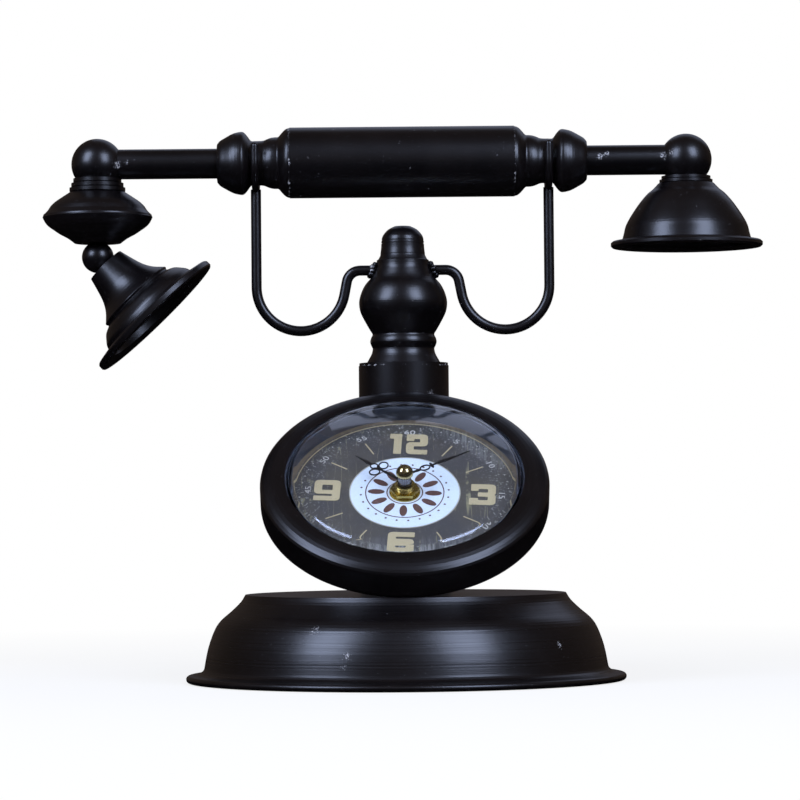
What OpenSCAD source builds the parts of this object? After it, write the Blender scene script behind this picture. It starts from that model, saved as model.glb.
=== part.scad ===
// Desk clock in the form of an antique telephone. Millimetres, +Z up, dial towards -Y.

/* [Base] */
// Radius of the rolled rim that stands on the table
base_rim_r = 93.6; // [88:0.1:97]
// Radius of the belly just above the flare
base_belly_r = 85.8; // [80:0.1:87]
// Radius of the flat top
base_top_r = 68.3; // [66:0.1:76]
// Height of the flat top
base_h = 37; // [30:0.5:50]
// Height at which the belly starts, above the flare
base_flare_h = 6.3; // [5:0.1:9]
// Sheet thickness of the base
base_wall = 1.2; // [0.8:0.1:2]
// Radius of the rolled bead of the rim
base_bead_r = 1.5; // [1.2:0.1:2.2]

/* [Post] */
// Distance of the post axis behind the base centre
post_y = 46; // [45:0.5:48]
// Radius of the post tube
post_r = 19.8; // [17:0.1:20]
// Wall of the post tube
post_wall = 1.5; // [1:0.1:3]
// Length of the post tube
post_len = 98.8; // [96:0.1:110]
// Thickness of the cap plate on the tube
post_cap_t = 1.2; // [0.8:0.1:2]
// Largest radius of the spindle
spindle_r = 19.4; // [17:0.1:20]
// Length of the spindle
spindle_len = 45.4; // [43:0.1:48]
// Height of the finial knob above the spindle
finial_h = 15; // [12:0.1:18]
// Radius of the post tie rod
post_rod_r = 3; // [2.5:0.1:3.5]

/* [Cradle] */
// Diameter of the cradle rods
rod_d = 4.5; // [4:0.1:5]
// Distance of the rod's weld below the spindle's top
rod_drop = 4.4; // [3.5:0.1:5.5]
// Radius of the tight bend beside the spindle
rod_bend_r = 6; // [5:0.1:7]
// Radius of the wide U bend
rod_u_r = 19.5; // [17:0.1:21]
// Height of the U bend's centre below the weld
rod_u_drop = 7; // [6:0.1:9]
// Slant of the inner leg from upright
rod_rake = 11; // [5:1:16]
// Distance of each yoke outside the handle's shoulder
yoke_out = 15; // [14.3:0.1:15.7]
// Diameter of the yoke prongs
prong_d = 3.2; // [2.6:0.1:3.6]
// Height of the prong tips above the handset axis
prong_rise = 6.5; // [3:0.1:9]
// Length of the stub that joins a yoke to its rod
yoke_stub = 5; // [3:0.5:8]

/* [Handset] */
// Height of the handset axis above the spindle's foot
handset_rise = 88.8; // [86:0.1:94]
// Radius of the handle tube
handle_r = 15.6; // [14.5:0.1:17]
// Wall of the handle tube
handle_wall = 1.2; // [0.8:0.1:2]
// Length of the handle tube
handle_len = 99; // [98:0.5:100]
// Length of a turned handle end
end_len = 31.9; // [31:0.1:34]
// Radius of the neck that lies in the yoke
neck_r = 9.8; // [9:0.1:10.5]
// Largest radius of the knob beside the neck
knob_r = 13.9; // [13:0.1:15]
// Radius of the arm tubes
arm_r = 6.6; // [6:0.1:7]
// Wall of the arm tubes
arm_wall = 1.2; // [0.8:0.1:2]
// Depth of the sockets that hold the arm tubes
arm_socket = 6; // [4:0.1:7]
// Distance of the mouthpiece ball from the middle
mouth_x = 134.4; // [132:0.1:137]
// Distance of the earpiece ball from the middle
ear_x = 125.2; // [123:0.1:128]
// Radius of the elbow balls
ball_r = 11.4; // [10.8:0.1:12]
// Radius of the handset tie rod
hand_rod_r = 2.5; // [2:0.1:3]
// Radius of the studs that hold the bell and the saucer
stud_r = 2; // [1.5:0.1:2.5]

/* [Mouthpiece] */
// Radius of the saucer's edge
saucer_r = 24.2; // [22:0.1:26]
// Height of the saucer's upper half
saucer_up_h = 11; // [10:0.1:12.5]
// Height of the saucer's lower half
saucer_low_h = 11.5; // [10.5:0.1:13]
// Sheet thickness of the saucer, horn and bell
sheet = 1.2; // [0.8:0.1:1.5]
// Radius of the small ball under the saucer
small_ball_r = 7; // [6.5:0.1:7.5]
// Radius of the horn's rim
horn_r = 33.2; // [31:0.1:35]
// Length of the horn
horn_len = 32.5; // [30:0.1:36]
// Slope of the horn's axis below level
horn_slope = 46; // [40:1:52]

/* [Earpiece] */
// Radius of the bell's rim
bell_r = 33.4; // [31:0.1:35]
// Radius of the bell's mouth above the rim
bell_mouth_r = 28.4; // [27:0.1:30]
// Height of the bell
bell_h = 28.1; // [26:0.1:31]
// Thickness of the bell's rim
bell_rim_t = 2.8; // [2:0.1:3.5]

/* [Clock case] */
// Outer radius of the case
case_r = 60.6; // [59:0.1:61]
// Elevation of the dial's outward normal
face_tilt = 50.5; // [48:0.5:53]
// Width of the case's straight band
case_band = 9.3; // [9:0.1:11]
// Drop from the lip to the band
case_front_drop = 4.6; // [4.2:0.1:6]
// Radius of the rounded back edge
case_back_r = 3; // [2.5:0.1:3.5]
// Sheet thickness of the case
case_wall = 1; // [0.8:0.1:1.2]
// Radius of the lip opening
lip_r = 50.1; // [49:0.1:51]
// Distance of the case from the front of the post tube
case_gap = 0.4; // [0.3:0.1:1]
// Height of the lens above the lip
lens_rise = 10.3; // [9.8:0.1:14]
// Thickness of the lens
lens_t = 1.4; // [1:0.1:1.5]
// Depth of the dial behind the lip
dial_depth = 10.2; // [9.4:0.1:10.6]
// Thickness of the dial plate
dial_t = 0.5; // [0.4:0.1:0.8]
// Visible radius of the dial
dial_r = 49; // [48:0.1:50]
// Radius of the white centre disc
disc_r = 23.1; // [20:0.1:24.5]
// Height of the large numerals
numeral_h = 13.4; // [10:0.1:14]
// Radius on which the numerals' middles lie
numeral_pitch_r = 32.5; // [32:0.1:35]
// Turn of the printed card in the case, clockwise
card_turn = 3.3; // [-6:0.1:6]

/* [Hands] */
// Length of the hour hand
hour_len = 27.5; // [20:0.5:30]
// Length of the minute hand
minute_len = 31.5; // [26:0.5:40]
// Clock angle of the hour hand
hour_angle = 311; // [0:1:359]
// Clock angle of the minute hand
minute_angle = 60; // [0:1:359]
// Thickness of the hands
hand_t = 0.4; // [0.3:0.1:0.5]
// Distance across the flats of the dial nut
nut_flats = 11; // [10:0.5:12]
// Radius of the ball cap nut
cap_ball_r = 3.6; // [3:0.1:3.7]

/* [Movement] */
// Width and height of the movement
movement_w = 55; // [54:0.5:58]
// Depth of the front housing
housing_d = 6.7; // [6.5:0.1:7]
// Depth of the rear cover
cover_d = 8.8; // [8.6:0.1:10]
// Wall of the movement's plastic housings
housing_wall = 1.2; // [1:0.1:1.3]
// Radius of the setting knob
knob_set_r = 5; // [4:0.1:6]
// Radius of the battery
battery_r = 7.1; // [6.8:0.05:7.1]
// Length of the battery without its nub
battery_len = 49; // [48:0.1:49.4]

/* [Hidden] */
$fn = 96;

// Clearances
fit = 0.05;        // radial gap of a piece in its socket or bearing
clear = 0.3;       // gap between pieces that only pass each other
eps = 0.01;        // overlap that keeps unions and cuts clean

// Heights and places along the post
yoke_x = handle_len / 2 + yoke_out;
post_top_z = base_h + post_len;
spindle_z = post_top_z + post_cap_t;
spindle_top_z = spindle_z + spindle_len;
weld_z = spindle_top_z - rod_drop;
handset_z = spindle_z + handset_rise;
nut_h = 5;
washer_t = 1;
post_rod_tail = 2;
finial_socket = 9;

// Places in the dial's own frame: x right, y up the dial, z outwards, 0 at the lip
band_front = -case_front_drop;
band_back = band_front - case_band;
case_back = band_back - case_back_r;
edge_r = case_r - case_back_r;
lip_z = base_h - band_back * sin(face_tilt) + edge_r * cos(face_tilt) + case_back_r;
lip_y = post_y - post_r - case_gap - case_back_r - edge_r * sin(face_tilt) + band_back * cos(face_tilt);
contact_y = lip_y - band_back * cos(face_tilt) - edge_r * sin(face_tilt);
dial_z = -dial_depth;
dial_back = dial_z - dial_t;
print_t = 0.15;
back_opening_r = edge_r - case_wall;
cover_r = back_opening_r - clear;
ring_r = cover_r - 2;
lens_flange_t = 1.1;
housing_front = dial_back - 0.4;
housing_in = housing_front - housing_wall;
housing_back = housing_front - housing_d;
cover_back = housing_back - cover_d;
cover_in = cover_back + housing_wall;
half_w = movement_w / 2;
half_in = half_w - housing_wall;

// Dial stack, from the dial outwards
bush_r = 4;
washer_z = dial_z + print_t;
dial_washer_t = 0.5;
dial_washer_r = 6.5;
nut_z = washer_z + dial_washer_t;
dial_nut_h = 1.8;
bush_top = nut_z + dial_nut_h + 2.4;
hour_hand_z = bush_top + 0.4;
pipe_top = hour_hand_z + hand_t + 0.3;
pipe_r = 1.9;
arbor_r = 1.2;
collar_z = pipe_top + 0.2;
collar_low_h = 2.9;
collar_top_h = 0.5;
minute_hand_z = collar_z + collar_low_h;
cap_z = minute_hand_z + hand_t + collar_top_h;
cap_ball_z = cap_z + 0.5;
arbor_top = cap_z + 1.3;

// Going train and motion work: tooth counts, modules and centre distances
minute_teeth = 12;
change_teeth = 36;
change_leaves = 10;
hour_teeth = 40;
motion_dist = 7.5;
motion_mod = 2 * motion_dist / (minute_teeth + change_teeth);
hour_mod = 2 * motion_dist / (change_leaves + hour_teeth);
leaves = 8;
centre_teeth = 64;
third_teeth = 60;
second_teeth = 32;
idler_teeth = 60;
third_dist = 7.2;
centre_mod = 2 * third_dist / (centre_teeth + leaves);
third_mod = 2 * third_dist / (third_teeth + leaves);
idler_dist = 7.6;
second_mod = 2 * idler_dist / (second_teeth + leaves);
rotor_dist = 6.8;
idler_mod = 2 * rotor_dist / (idler_teeth + leaves);
change_dir = 0;
third_dir = 200;
idler_dir = 300;
rotor_dir = 270;
change_at = motion_dist * [cos(change_dir), sin(change_dir)];
third_at = third_dist * [cos(third_dir), sin(third_dir)];
idler_at = idler_dist * [cos(idler_dir), sin(idler_dir)];
rotor_at = idler_at + rotor_dist * [cos(rotor_dir), sin(rotor_dir)];

// Levels of the wheels, stacked behind the front housing
wheel_t = 0.5;
hour_level = housing_in - 1.2;
change_level = hour_level - 1.1;
centre_level = change_level - 1.4;
third_level = centre_level - 1.6;
second_level = third_level - 1.6;
idler_level = second_level - 1.5;
plate_front = idler_level - 0.7;
plate_t = 0.8;
plate_half_w = 17;
plate_low = 20.5;
plate_high = 6.3;
plate_back = plate_front - plate_t;
leaf_over = 0.1;   // length of a pinion past its wheel, each way
pivot_r = 0.4;
pivot_seat = 0.6;
change_arbor_r = 0.7;
rotor_magnet_r = 2.6;
rotor_gap = 0.4;
magnet_t = 1.6;
stator_t = 0.8;
magnet_z = plate_back - 0.6 - magnet_t;
coil_y = rotor_at.y - 9.5;
coil_r = 1.6;
bay_y = half_in - battery_r - 0.7;
bay_wall_y = bay_y - battery_r - 0.7;
bay_z = housing_in - battery_r - clear;
contact_t = 0.4;
post_pin_r = 1.2;
plate_posts = [[-15, 4.5], [15, 4.5], [14, -18], [-8, -18]];

// ---------- shared shapes ----------

// Smooth curve through hand-set points, steps pieces between neighbours
function curve_at(a, b, c, d, t) =
    0.5 * (2 * b + (c - a) * t + (2 * a - 5 * b + 4 * c - d) * t * t
        + (3 * b - a - 3 * c + d) * t * t * t);
function smooth(p, steps = 4) = [
    for (i = [0:len(p) - 2]) for (j = [0:steps - 1])
        curve_at(p[max(i - 1, 0)], p[i], p[i + 1], p[min(i + 2, len(p) - 1)], j / steps),
    p[len(p) - 1]
];
function reversed(p) = [for (i = [len(p) - 1:-1:0]) p[i]];
// Points moved by a wall: inwards and along the axis
function shifted(p, dr, dz) = [for (q = p) [q.x - dr, q.y + dz]];
// Quarter round from angle a to b
function arc(cx, cy, rx, ry, a, b, steps = 8) =
    [for (i = [0:steps]) let (t = a + (b - a) * i / steps) [cx + rx * cos(t), cy + ry * sin(t)]];

module ring(r_out, r_in, z, h) {
    translate([0, 0, z])
        difference() {
            cylinder(r = r_out, h = h);
            translate([0, 0, -1]) cylinder(r = r_in, h = h + 2);
        }
}

module rod(r, z0, z1) translate([0, 0, z0]) cylinder(r = r, h = z1 - z0);

// Toothed wheel: slim straight-sided teeth with backlash, the first one at angle phase
module gear(teeth, m, z, h, phase, leaf = false) {
    pitch = 360 / teeth;
    pr = teeth * m / 2;
    tip_r = pr + (leaf ? 0.55 : 0.75) * m;
    root_r = pr - (leaf ? 1.15 : 1.0) * m;
    root_w = (leaf ? 0.30 : 0.44) * pitch;
    pitch_w = (leaf ? 0.32 : 0.38) * pitch;
    tip_w = (leaf ? 0.18 : 0.14) * pitch;
    translate([0, 0, z])
        linear_extrude(h)
            polygon([for (k = [0:teeth - 1]) let (a = phase + k * pitch) each [
                root_r * [cos(a - root_w / 2), sin(a - root_w / 2)],
                pr * [cos(a - pitch_w / 2), sin(a - pitch_w / 2)],
                tip_r * [cos(a - tip_w / 2), sin(a - tip_w / 2)],
                tip_r * [cos(a + tip_w / 2), sin(a + tip_w / 2)],
                pr * [cos(a + pitch_w / 2), sin(a + pitch_w / 2)],
                root_r * [cos(a + root_w / 2), sin(a + root_w / 2)]]]);
}

module on_post() translate([0, post_y, 0]) children();
module on_dial() translate([0, lip_y, lip_z]) rotate([90 - face_tilt, 0, 0]) children();
module on_axis(at) on_dial() translate([at.x, at.y, 0]) children();
module right_or_left(side) if (side > 0) children(); else mirror([1, 0, 0]) children();

// ---------- base ----------

// Share of the belly's height, and share of the way from the top's radius to the belly's
belly = [[0, 1], [0.27, 0.905], [0.52, 0.745], [0.65, 0.59], [0.77, 0.345], [0.9, 0.11], [1, 0]];
belly_points = smooth([for (q = belly)
    [base_top_r + (base_belly_r - base_top_r) * q.y, base_flare_h + (base_h - base_flare_h) * q.x]], 3);
flare_points = arc(base_rim_r - base_bead_r, base_flare_h, base_rim_r - base_bead_r - base_belly_r,
    base_flare_h - 2 * base_bead_r, 270, 180, 6);

module base_shell() color("#1b1a1b")
    difference() {
        rotate_extrude()
            polygon(concat(
                [[0, base_h - base_wall]],
                [for (i = [len(belly_points) - 1:-1:0])
                    [belly_points[i].x - base_wall, min(belly_points[i].y, base_h - base_wall)]],
                [[base_belly_r - base_wall, base_flare_h - base_wall],
                 [base_rim_r - 2 * base_bead_r - base_wall, base_bead_r],
                 [base_rim_r - 2 * base_bead_r - base_wall / 2, 0]],
                arc(base_rim_r - base_bead_r, base_bead_r, base_bead_r, base_bead_r, 270, 450, 12),
                [for (i = [1:len(flare_points) - 2]) flare_points[i]],
                belly_points,
                [[0, base_h]]));
        on_post() rod(post_rod_r + fit, base_h - base_wall - 1, base_h + 1);
    }

module base_washer() color("silver")
    on_post() ring(post_rod_r * 2.6, post_rod_r + fit, base_h - base_wall - washer_t, washer_t);

module base_nut() color("silver")
    on_post() translate([0, 0, base_h - base_wall - washer_t - nut_h])
        difference() {
            cylinder(r = post_rod_r * 1.9, h = nut_h, $fn = 6);
            translate([0, 0, -1]) cylinder(r = post_rod_r + fit, h = nut_h + 2);
        }

// ---------- post ----------

module post_tie_rod() color("silver")
    on_post() rod(post_rod_r, base_h - base_wall - washer_t - nut_h - post_rod_tail,
        spindle_top_z + finial_socket - 1);

module post_tube() color("#1b1a1b")
    on_post() ring(post_r, post_r - post_wall, base_h, post_len);

module post_cap() color("#1b1a1b")
    on_post() union() {
        ring(post_r - 0.3, post_rod_r + fit, post_top_z, post_cap_t);
        ring(post_r - post_wall - fit, post_rod_r + fit, post_top_z - 3, 3 + eps);
    }

// Radius as a share of the widest part, and height as a share of the spindle
spindle_shape = [[0.84, 0], [0.8, 0.03], [0.725, 0.09], [0.7, 0.14], [0.725, 0.165], [0.755, 0.205],
    [0.735, 0.245], [0.7, 0.28], [0.755, 0.32], [0.855, 0.395], [0.965, 0.49], [1, 0.57], [0.985, 0.635],
    [0.925, 0.71], [0.845, 0.77], [0.725, 0.83], [0.64, 0.9], [0.6, 0.945], [0.59, 1]];

module spindle_body()
    rotate_extrude()
        polygon(concat([[0, spindle_z]],
            smooth([for (q = spindle_shape) [spindle_r * q.x, spindle_z + spindle_len * q.y]], 3),
            [[0, spindle_top_z]]));

module post_spindle() color("#1b1a1b")
    on_post() difference() {
        spindle_body();
        rod(post_rod_r + fit, spindle_z - 1, spindle_top_z + 1);
    }

// Radius as a share of the spindle's, and height as a share of the finial
finial_shape = [[0.585, 0], [0.56, 0.02], [0.51, 0.14], [0.505, 0.2], [0.49, 0.36], [0.485, 0.5],
    [0.475, 0.62], [0.44, 0.74], [0.33, 0.9], [0.18, 1]];
finial_groove_h = 0.48;   // share of the finial's height
groove_step = 1.3;
groove_w = 0.5;

module post_finial() color("#1b1a1b")
    on_post() difference() {
        rotate_extrude()
            polygon(concat([[0, spindle_top_z]],
                smooth([for (q = finial_shape) [spindle_r * q.x, spindle_top_z + finial_h * q.y]], 3),
                [[0, spindle_top_z + finial_h]]));
        rod(post_rod_r + fit, spindle_top_z - 1, spindle_top_z + finial_socket);
        for (i = [0, 1])
            ring(spindle_r, spindle_r * 0.47, spindle_top_z + finial_h * finial_groove_h + i * groove_step,
                groove_w);
    }

// ---------- cradle ----------

rod_r = rod_d / 2;
u_x = yoke_x - rod_u_r;
u_z = weld_z - rod_u_drop;
leg_turn = 90 - rod_rake;
inner_end = [u_x - rod_u_r * cos(rod_rake), u_z - rod_u_r * sin(rod_rake)];
bend_end_z = weld_z - rod_bend_r * (1 - cos(leg_turn));
leg_len = (bend_end_z - inner_end.y) / cos(rod_rake);
bend_end_x = inner_end.x - leg_len * sin(rod_rake);
bend_x = bend_end_x - rod_bend_r * sin(leg_turn);
yoke_r = neck_r + clear + prong_d / 2;
yoke_foot_z = handset_z - yoke_r - yoke_stub;

// Round bar bent about a centre in the XZ plane, from angle a, through turn degrees
module bend(cx, cz, r, a, turn, bar_r)
    translate([cx, 0, cz]) rotate([90, 0, 0]) rotate([0, 0, a])
        rotate_extrude(angle = turn) translate([r, 0]) circle(r = bar_r);

// Radius of the spindle at a height
function spindle_at(z) =
    lookup(z, [for (q = spindle_shape) [spindle_z + spindle_len * q.y, spindle_r * q.x]]);

rod_sides = 16;
bend_steps = 10;
u_steps = 28;
// Middle of the rod and its heading in the plane of the cradle: [x, z, heading]
rod_path = concat(
    [for (i = [0:bend_steps]) let (t = leg_turn * i / bend_steps)
        [bend_x + rod_bend_r * sin(t), weld_z - rod_bend_r * (1 - cos(t)), -t]],
    [for (i = [0:u_steps]) let (t = 180 + rod_rake + (180 - rod_rake) * i / u_steps)
        [u_x + rod_u_r * cos(t), u_z + rod_u_r * sin(t), t - 270]],
    [[yoke_x, yoke_foot_z, 90]]);
// The first ring follows the spindle's surface, the others lie square to the path
rod_rings = concat(
    [[for (k = [0:rod_sides - 1]) let (t = 360 * k / rod_sides, z = weld_z + rod_r * cos(t))
        [spindle_at(z) + fit, rod_r * sin(t), z]]],
    [for (q = rod_path) [for (k = [0:rod_sides - 1]) let (t = 360 * k / rod_sides)
        [q.x - rod_r * cos(t) * sin(q[2]), rod_r * sin(t), q.y + rod_r * cos(t) * cos(q[2])]]]);

// Closed tube through rings of points
module tube_through(rings) {
    n = len(rings[0]);
    m = len(rings);
    polyhedron(
        points = [for (ring = rings) each ring],
        faces = concat(
            [for (i = [0:m - 2]) for (k = [0:n - 1]) let (a = i * n + k, b = i * n + (k + 1) % n) each [
                [a, a + n, b], [b, a + n, b + n]]],
            [for (k = [1:n - 2]) [0, k, k + 1]],
            [for (k = [1:n - 2]) [(m - 1) * n, (m - 1) * n + k + 1, (m - 1) * n + k]]));
}

module cradle_rod(side)
    color("#1b1a1b") on_post() right_or_left(side) tube_through(rod_rings);

module cradle_rod_left() cradle_rod(-1);
module cradle_rod_right() cradle_rod(1);

module yoke(side)
    color("#1b1a1b") on_post() right_or_left(side) translate([yoke_x, 0, 0]) union() {
        rod(rod_r, yoke_foot_z, handset_z - yoke_r);
        translate([0, 0, handset_z]) rotate([0, 0, 90]) bend(0, 0, yoke_r, 180, 180, prong_d / 2);
        for (y = [-yoke_r, yoke_r]) translate([0, y, 0]) {
            rod(prong_d / 2, handset_z, handset_z + prong_rise);
            translate([0, 0, handset_z + prong_rise]) sphere(r = prong_d / 2);
        }
    }

module yoke_left() yoke(-1);
module yoke_right() yoke(1);

// ---------- handset ----------

handle_in_r = handle_r - handle_wall;
spigot_len = 6;
half_handle = handle_len / 2;
end_x = half_handle + end_len;
neck_at = yoke_out;

module along_x() translate([0, post_y, handset_z]) rotate([0, 90, 0]) children();

module handle_tube() color("#1b1a1b")
    along_x() ring(handle_r, handle_in_r, -half_handle, handle_len);

// Distance from the tube's end and radius, from the shoulder over the neck and knob to the end face
end_outline = concat(
    [[0, handle_in_r - fit], [0, handle_r - 0.2]],
    smooth([[0, handle_r - 0.2], [1.2, handle_r - 0.5], [2.4, handle_r - 1.3], [3.8, neck_r + 3],
        [5, neck_r + 1.7], [6.4, neck_r + 1.6], [8, neck_r + 1.4], [9.6, neck_r + 0.9], [11, neck_r + 0.3],
        [neck_at - 2.6, neck_r + 0.05], [neck_at, neck_r], [neck_at + 2, neck_r + 0.1],
        [neck_at + 3.4, knob_r - 2.2], [neck_at + 5, knob_r - 0.4], [neck_at + 6.6, knob_r],
        [neck_at + 10, knob_r - 0.8], [end_len - 3.5, knob_r - 2.6], [end_len - 1.2, knob_r - 4],
        [end_len, knob_r - 5.4]], 3));

module handle_end(side)
    color("#1b1a1b") right_or_left(side) along_x() difference() {
        rotate_extrude()
            polygon(concat([[0, half_handle - spigot_len], [handle_in_r - fit, half_handle - spigot_len]],
                [for (q = end_outline) [q.y, half_handle + q.x]], [[0, end_x]]));
        rod(hand_rod_r + fit, half_handle - spigot_len - 1, end_x + 1);
        rod(arm_r + fit, end_x - arm_socket, end_x + 1);
    }

module handle_end_left() handle_end(-1);
module handle_end_right() handle_end(1);

module arm_tube(side, ball_x)
    color("#1b1a1b") right_or_left(side) along_x()
        ring(arm_r, arm_r - arm_wall, end_x - arm_socket, ball_x - arm_socket - end_x + arm_socket);

module arm_tube_left() arm_tube(-1, mouth_x);
module arm_tube_right() arm_tube(1, ear_x);

module handset_tie_rod() color("silver")
    along_x() rod(hand_rod_r, -mouth_x + 3, ear_x - 3);

// Ball with a flat seat below, a socket for the arm tube, one for the tie rod and one for the stud
module elbow(side, ball_x)
    color("#1b1a1b") translate([side * ball_x, post_y, handset_z]) difference() {
        sphere(r = ball_r);
        rotate([0, -90 * side, 0]) {
            rod(arm_r + fit, arm_socket, ball_r + 1);
            rod(hand_rod_r + fit, 2.5, ball_r);
        }
        rod(stud_r + fit, -ball_r - 1, -4);
    }

module elbow_left() elbow(-1, mouth_x);
module elbow_right() elbow(1, ear_x);

// Stepped rings under a ball: radii and heights below the ball's centre
module collar(side, ball_x, steps, top, bottom)
    color("#1b1a1b") translate([side * ball_x, post_y, handset_z]) difference() {
        rotate_extrude()
            polygon(concat([[0, -top]],
                [for (i = [0:len(steps) - 1]) let (h = (bottom - top) / len(steps)) each [
                    [steps[i], -top - i * h], [steps[i], -top - (i + 0.75) * h],
                    [steps[i] - 0.5, -top - (i + 1) * h]]],
                [[0, -bottom]]));
        sphere(r = ball_r + fit);
        rotate([0, -90 * side, 0]) rod(arm_r + fit, 0, 2 * ball_r);
        rod(stud_r + fit, -bottom - 1, 0);
    }

mouth_collar = [6.2, 12.3];
ear_collar = [7.4, 10.6];
module collar_left() collar(-1, mouth_x, [10.6, 11.5, 12.3], mouth_collar[0], mouth_collar[1]);
module collar_right() collar(1, ear_x, [10.8, 11.7], ear_collar[0], ear_collar[1]);

// Spun sheet from an outline of radii and heights, closed at the end that starts it
module spun(outline, wall, dz)
    rotate_extrude() polygon(concat([[0, outline[0].y]], outline,
        [for (q = reversed(outline)) [max(q.x - wall, 0), q.y + dz]], [[0, outline[0].y + dz]]));

saucer_edge_z = mouth_collar[1] + saucer_up_h;
saucer_foot_z = saucer_edge_z + saucer_low_h;
// Share of the saucer's radius, and share of the height down each half
upper_saucer = [[0.51, 0], [0.68, 0.245], [0.78, 0.4], [0.855, 0.564], [0.9, 0.718], [0.97, 0.89], [1, 1]];
lower_saucer = [[1, 0], [0.955, 0.191], [0.89, 0.348], [0.79, 0.496], [0.68, 0.652], [0.54, 0.809],
    [0.42, 1]];

module saucer_upper() color("#1b1a1b")
    translate([-mouth_x, post_y, handset_z]) difference() {
        spun(smooth([for (q = upper_saucer) [saucer_r * q.x, -mouth_collar[1] - saucer_up_h * q.y]], 2),
            sheet, -sheet * 0.8);
        rod(stud_r + fit, -mouth_collar[1] - 4, -mouth_collar[1] + 1);
        translate([0, 0, -saucer_edge_z - saucer_low_h]) cylinder(r = saucer_r + 1, h = saucer_low_h);
    }

module saucer_lower() color("#1b1a1b")
    translate([-mouth_x, post_y, handset_z]) difference() {
        spun(smooth([for (q = reversed(lower_saucer)) [saucer_r * q.x, -saucer_edge_z - saucer_low_h * q.y]], 2),
            sheet, sheet * 0.8);
        rod(stud_r + fit, -saucer_foot_z - 1, -saucer_foot_z + 4);
        translate([0, 0, -saucer_edge_z]) cylinder(r = saucer_r + 1, h = saucer_up_h);
    }

small_ball_z = saucer_foot_z + small_ball_r - 0.9;

module saucer_stud() color("silver")
    translate([-mouth_x, post_y, handset_z]) rod(stud_r, -small_ball_z, -4.2);

module mouthpiece_ball() color("#1b1a1b")
    translate([-mouth_x, post_y, handset_z - small_ball_z]) difference() {
        sphere(r = small_ball_r);
        translate([0, 0, small_ball_z - saucer_foot_z]) cylinder(r = small_ball_r, h = small_ball_r);
        rod(stud_r + fit, -fit, small_ball_r + 1);
    }

horn_start = small_ball_r - 2;
rim_t = 3;
// Radius as a share of the rim's, and share of the horn's length
horn_shape = [[0.27, 0], [0.318, 0.185], [0.368, 0.34], [0.437, 0.46], [0.53, 0.56], [0.551, 0.585],
    [0.539, 0.625], [0.632, 0.675], [0.693, 0.74], [0.738, 0.8], [0.76, 0.86]];

// Horn along its own +Z, from the ball's centre
module horn_body()
    rotate_extrude()
        polygon(concat(
            [[0, horn_start]],
            smooth([for (q = horn_shape) [horn_r * q.x, horn_start + horn_len * q.y]], 3),
            [[horn_r - 0.6, horn_start + horn_len - rim_t],
             [horn_r - 0.1, horn_start + horn_len - rim_t + 0.5],
             [horn_r, horn_start + horn_len - 0.6], [horn_r - 0.5, horn_start + horn_len],
             [horn_r - 3.5, horn_start + horn_len], [horn_r * 0.78 - sheet, horn_start + horn_len - 1.5]],
            [for (i = [len(horn_shape) - 1:-1:1])
                [horn_r * horn_shape[i].x - sheet, horn_start + horn_len * horn_shape[i].y + 0.3]],
            [[horn_r * 0.29 - sheet, horn_start + 4], [0, horn_start + 4]]));

module mouthpiece_horn() color("#1b1a1b")
    translate([-mouth_x, post_y, handset_z - small_ball_z]) difference() {
        rotate([0, 90 + horn_slope, 0]) horn_body();
        sphere(r = small_ball_r + fit);
    }

bell_top_z = ear_collar[1];
// Radius as a share of the mouth's, and share of the height down to the rim
bell_shape = [[0.433, 0], [0.518, 0.1], [0.6, 0.175], [0.71, 0.315], [0.8, 0.455], [0.88, 0.595],
    [0.944, 0.735], [0.975, 0.875], [1, 0.975]];

module earpiece_bell() color("#1b1a1b")
    translate([ear_x, post_y, handset_z - bell_top_z]) difference() {
        rotate_extrude()
            let (h = bell_h - bell_rim_t)
            polygon(concat([[0, 0]],
                smooth([for (q = bell_shape) [bell_mouth_r * q.x, -h * q.y]], 3),
                [[bell_r - 0.8, -h - 0.1], [bell_r, -h - 0.8], [bell_r, -bell_h + 0.7],
                 [bell_r - 0.7, -bell_h],
                 [bell_mouth_r + 1, -bell_h], [bell_mouth_r - sheet, -bell_h + 1.5]],
                [for (i = [len(bell_shape) - 1:-1:1])
                    [bell_mouth_r * bell_shape[i].x - sheet, -h * bell_shape[i].y - sheet * 0.5]],
                [[0, -h * bell_shape[1].y - sheet * 0.5]]));
        rod(stud_r + fit, -8, 1);
        translate([0, 0, bell_top_z]) sphere(r = ball_r + fit);
    }

module earpiece_stud() color("silver")
    translate([ear_x, post_y, handset_z]) union() {
        rod(stud_r, -bell_top_z - 4.6, -4.2);
        rod(stud_r * 2, -bell_top_z - 6.2, -bell_top_z - 4.4);
    }

// ---------- clock case ----------

lip_width = case_r - lip_r;
screw_angles = [35, 145];
screw_r = 1;

// Along each cover screw, which goes in between the dial and the back of the band
module at_screws()
    for (a = screw_angles) rotate([0, 0, a]) translate([0, 0, (dial_back + band_back) / 2])
        rotate([0, 90, 0]) children();

module case_shell() color("#1b1a1b")
    on_dial() difference() {
        rotate_extrude()
            polygon(concat(
                arc(lip_r, band_front, lip_width, case_front_drop, 90, 0, 8),
                arc(edge_r, band_back, case_back_r, case_back_r, 0, -90, 6),
                [[edge_r - case_wall, case_back], [edge_r - case_wall, case_back + case_wall]],
                arc(edge_r, band_back, case_back_r - case_wall, case_back_r - case_wall, -90, 0, 6),
                reversed(arc(lip_r, band_front, lip_width - case_wall, case_front_drop - case_wall,
                    90, 0, 8))));
        at_screws() rod(screw_r + clear, edge_r - 4, case_r + 1);
    }

// Solid of the case's outside, for cutting what is welded to it
module case_outside()
    rotate_extrude()
        polygon(concat([[0, 0]], arc(lip_r, band_front, lip_width, case_front_drop, 90, 0, 8),
            arc(edge_r, band_back, case_back_r, case_back_r, 0, -90, 6), [[0, case_back]]));

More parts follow.
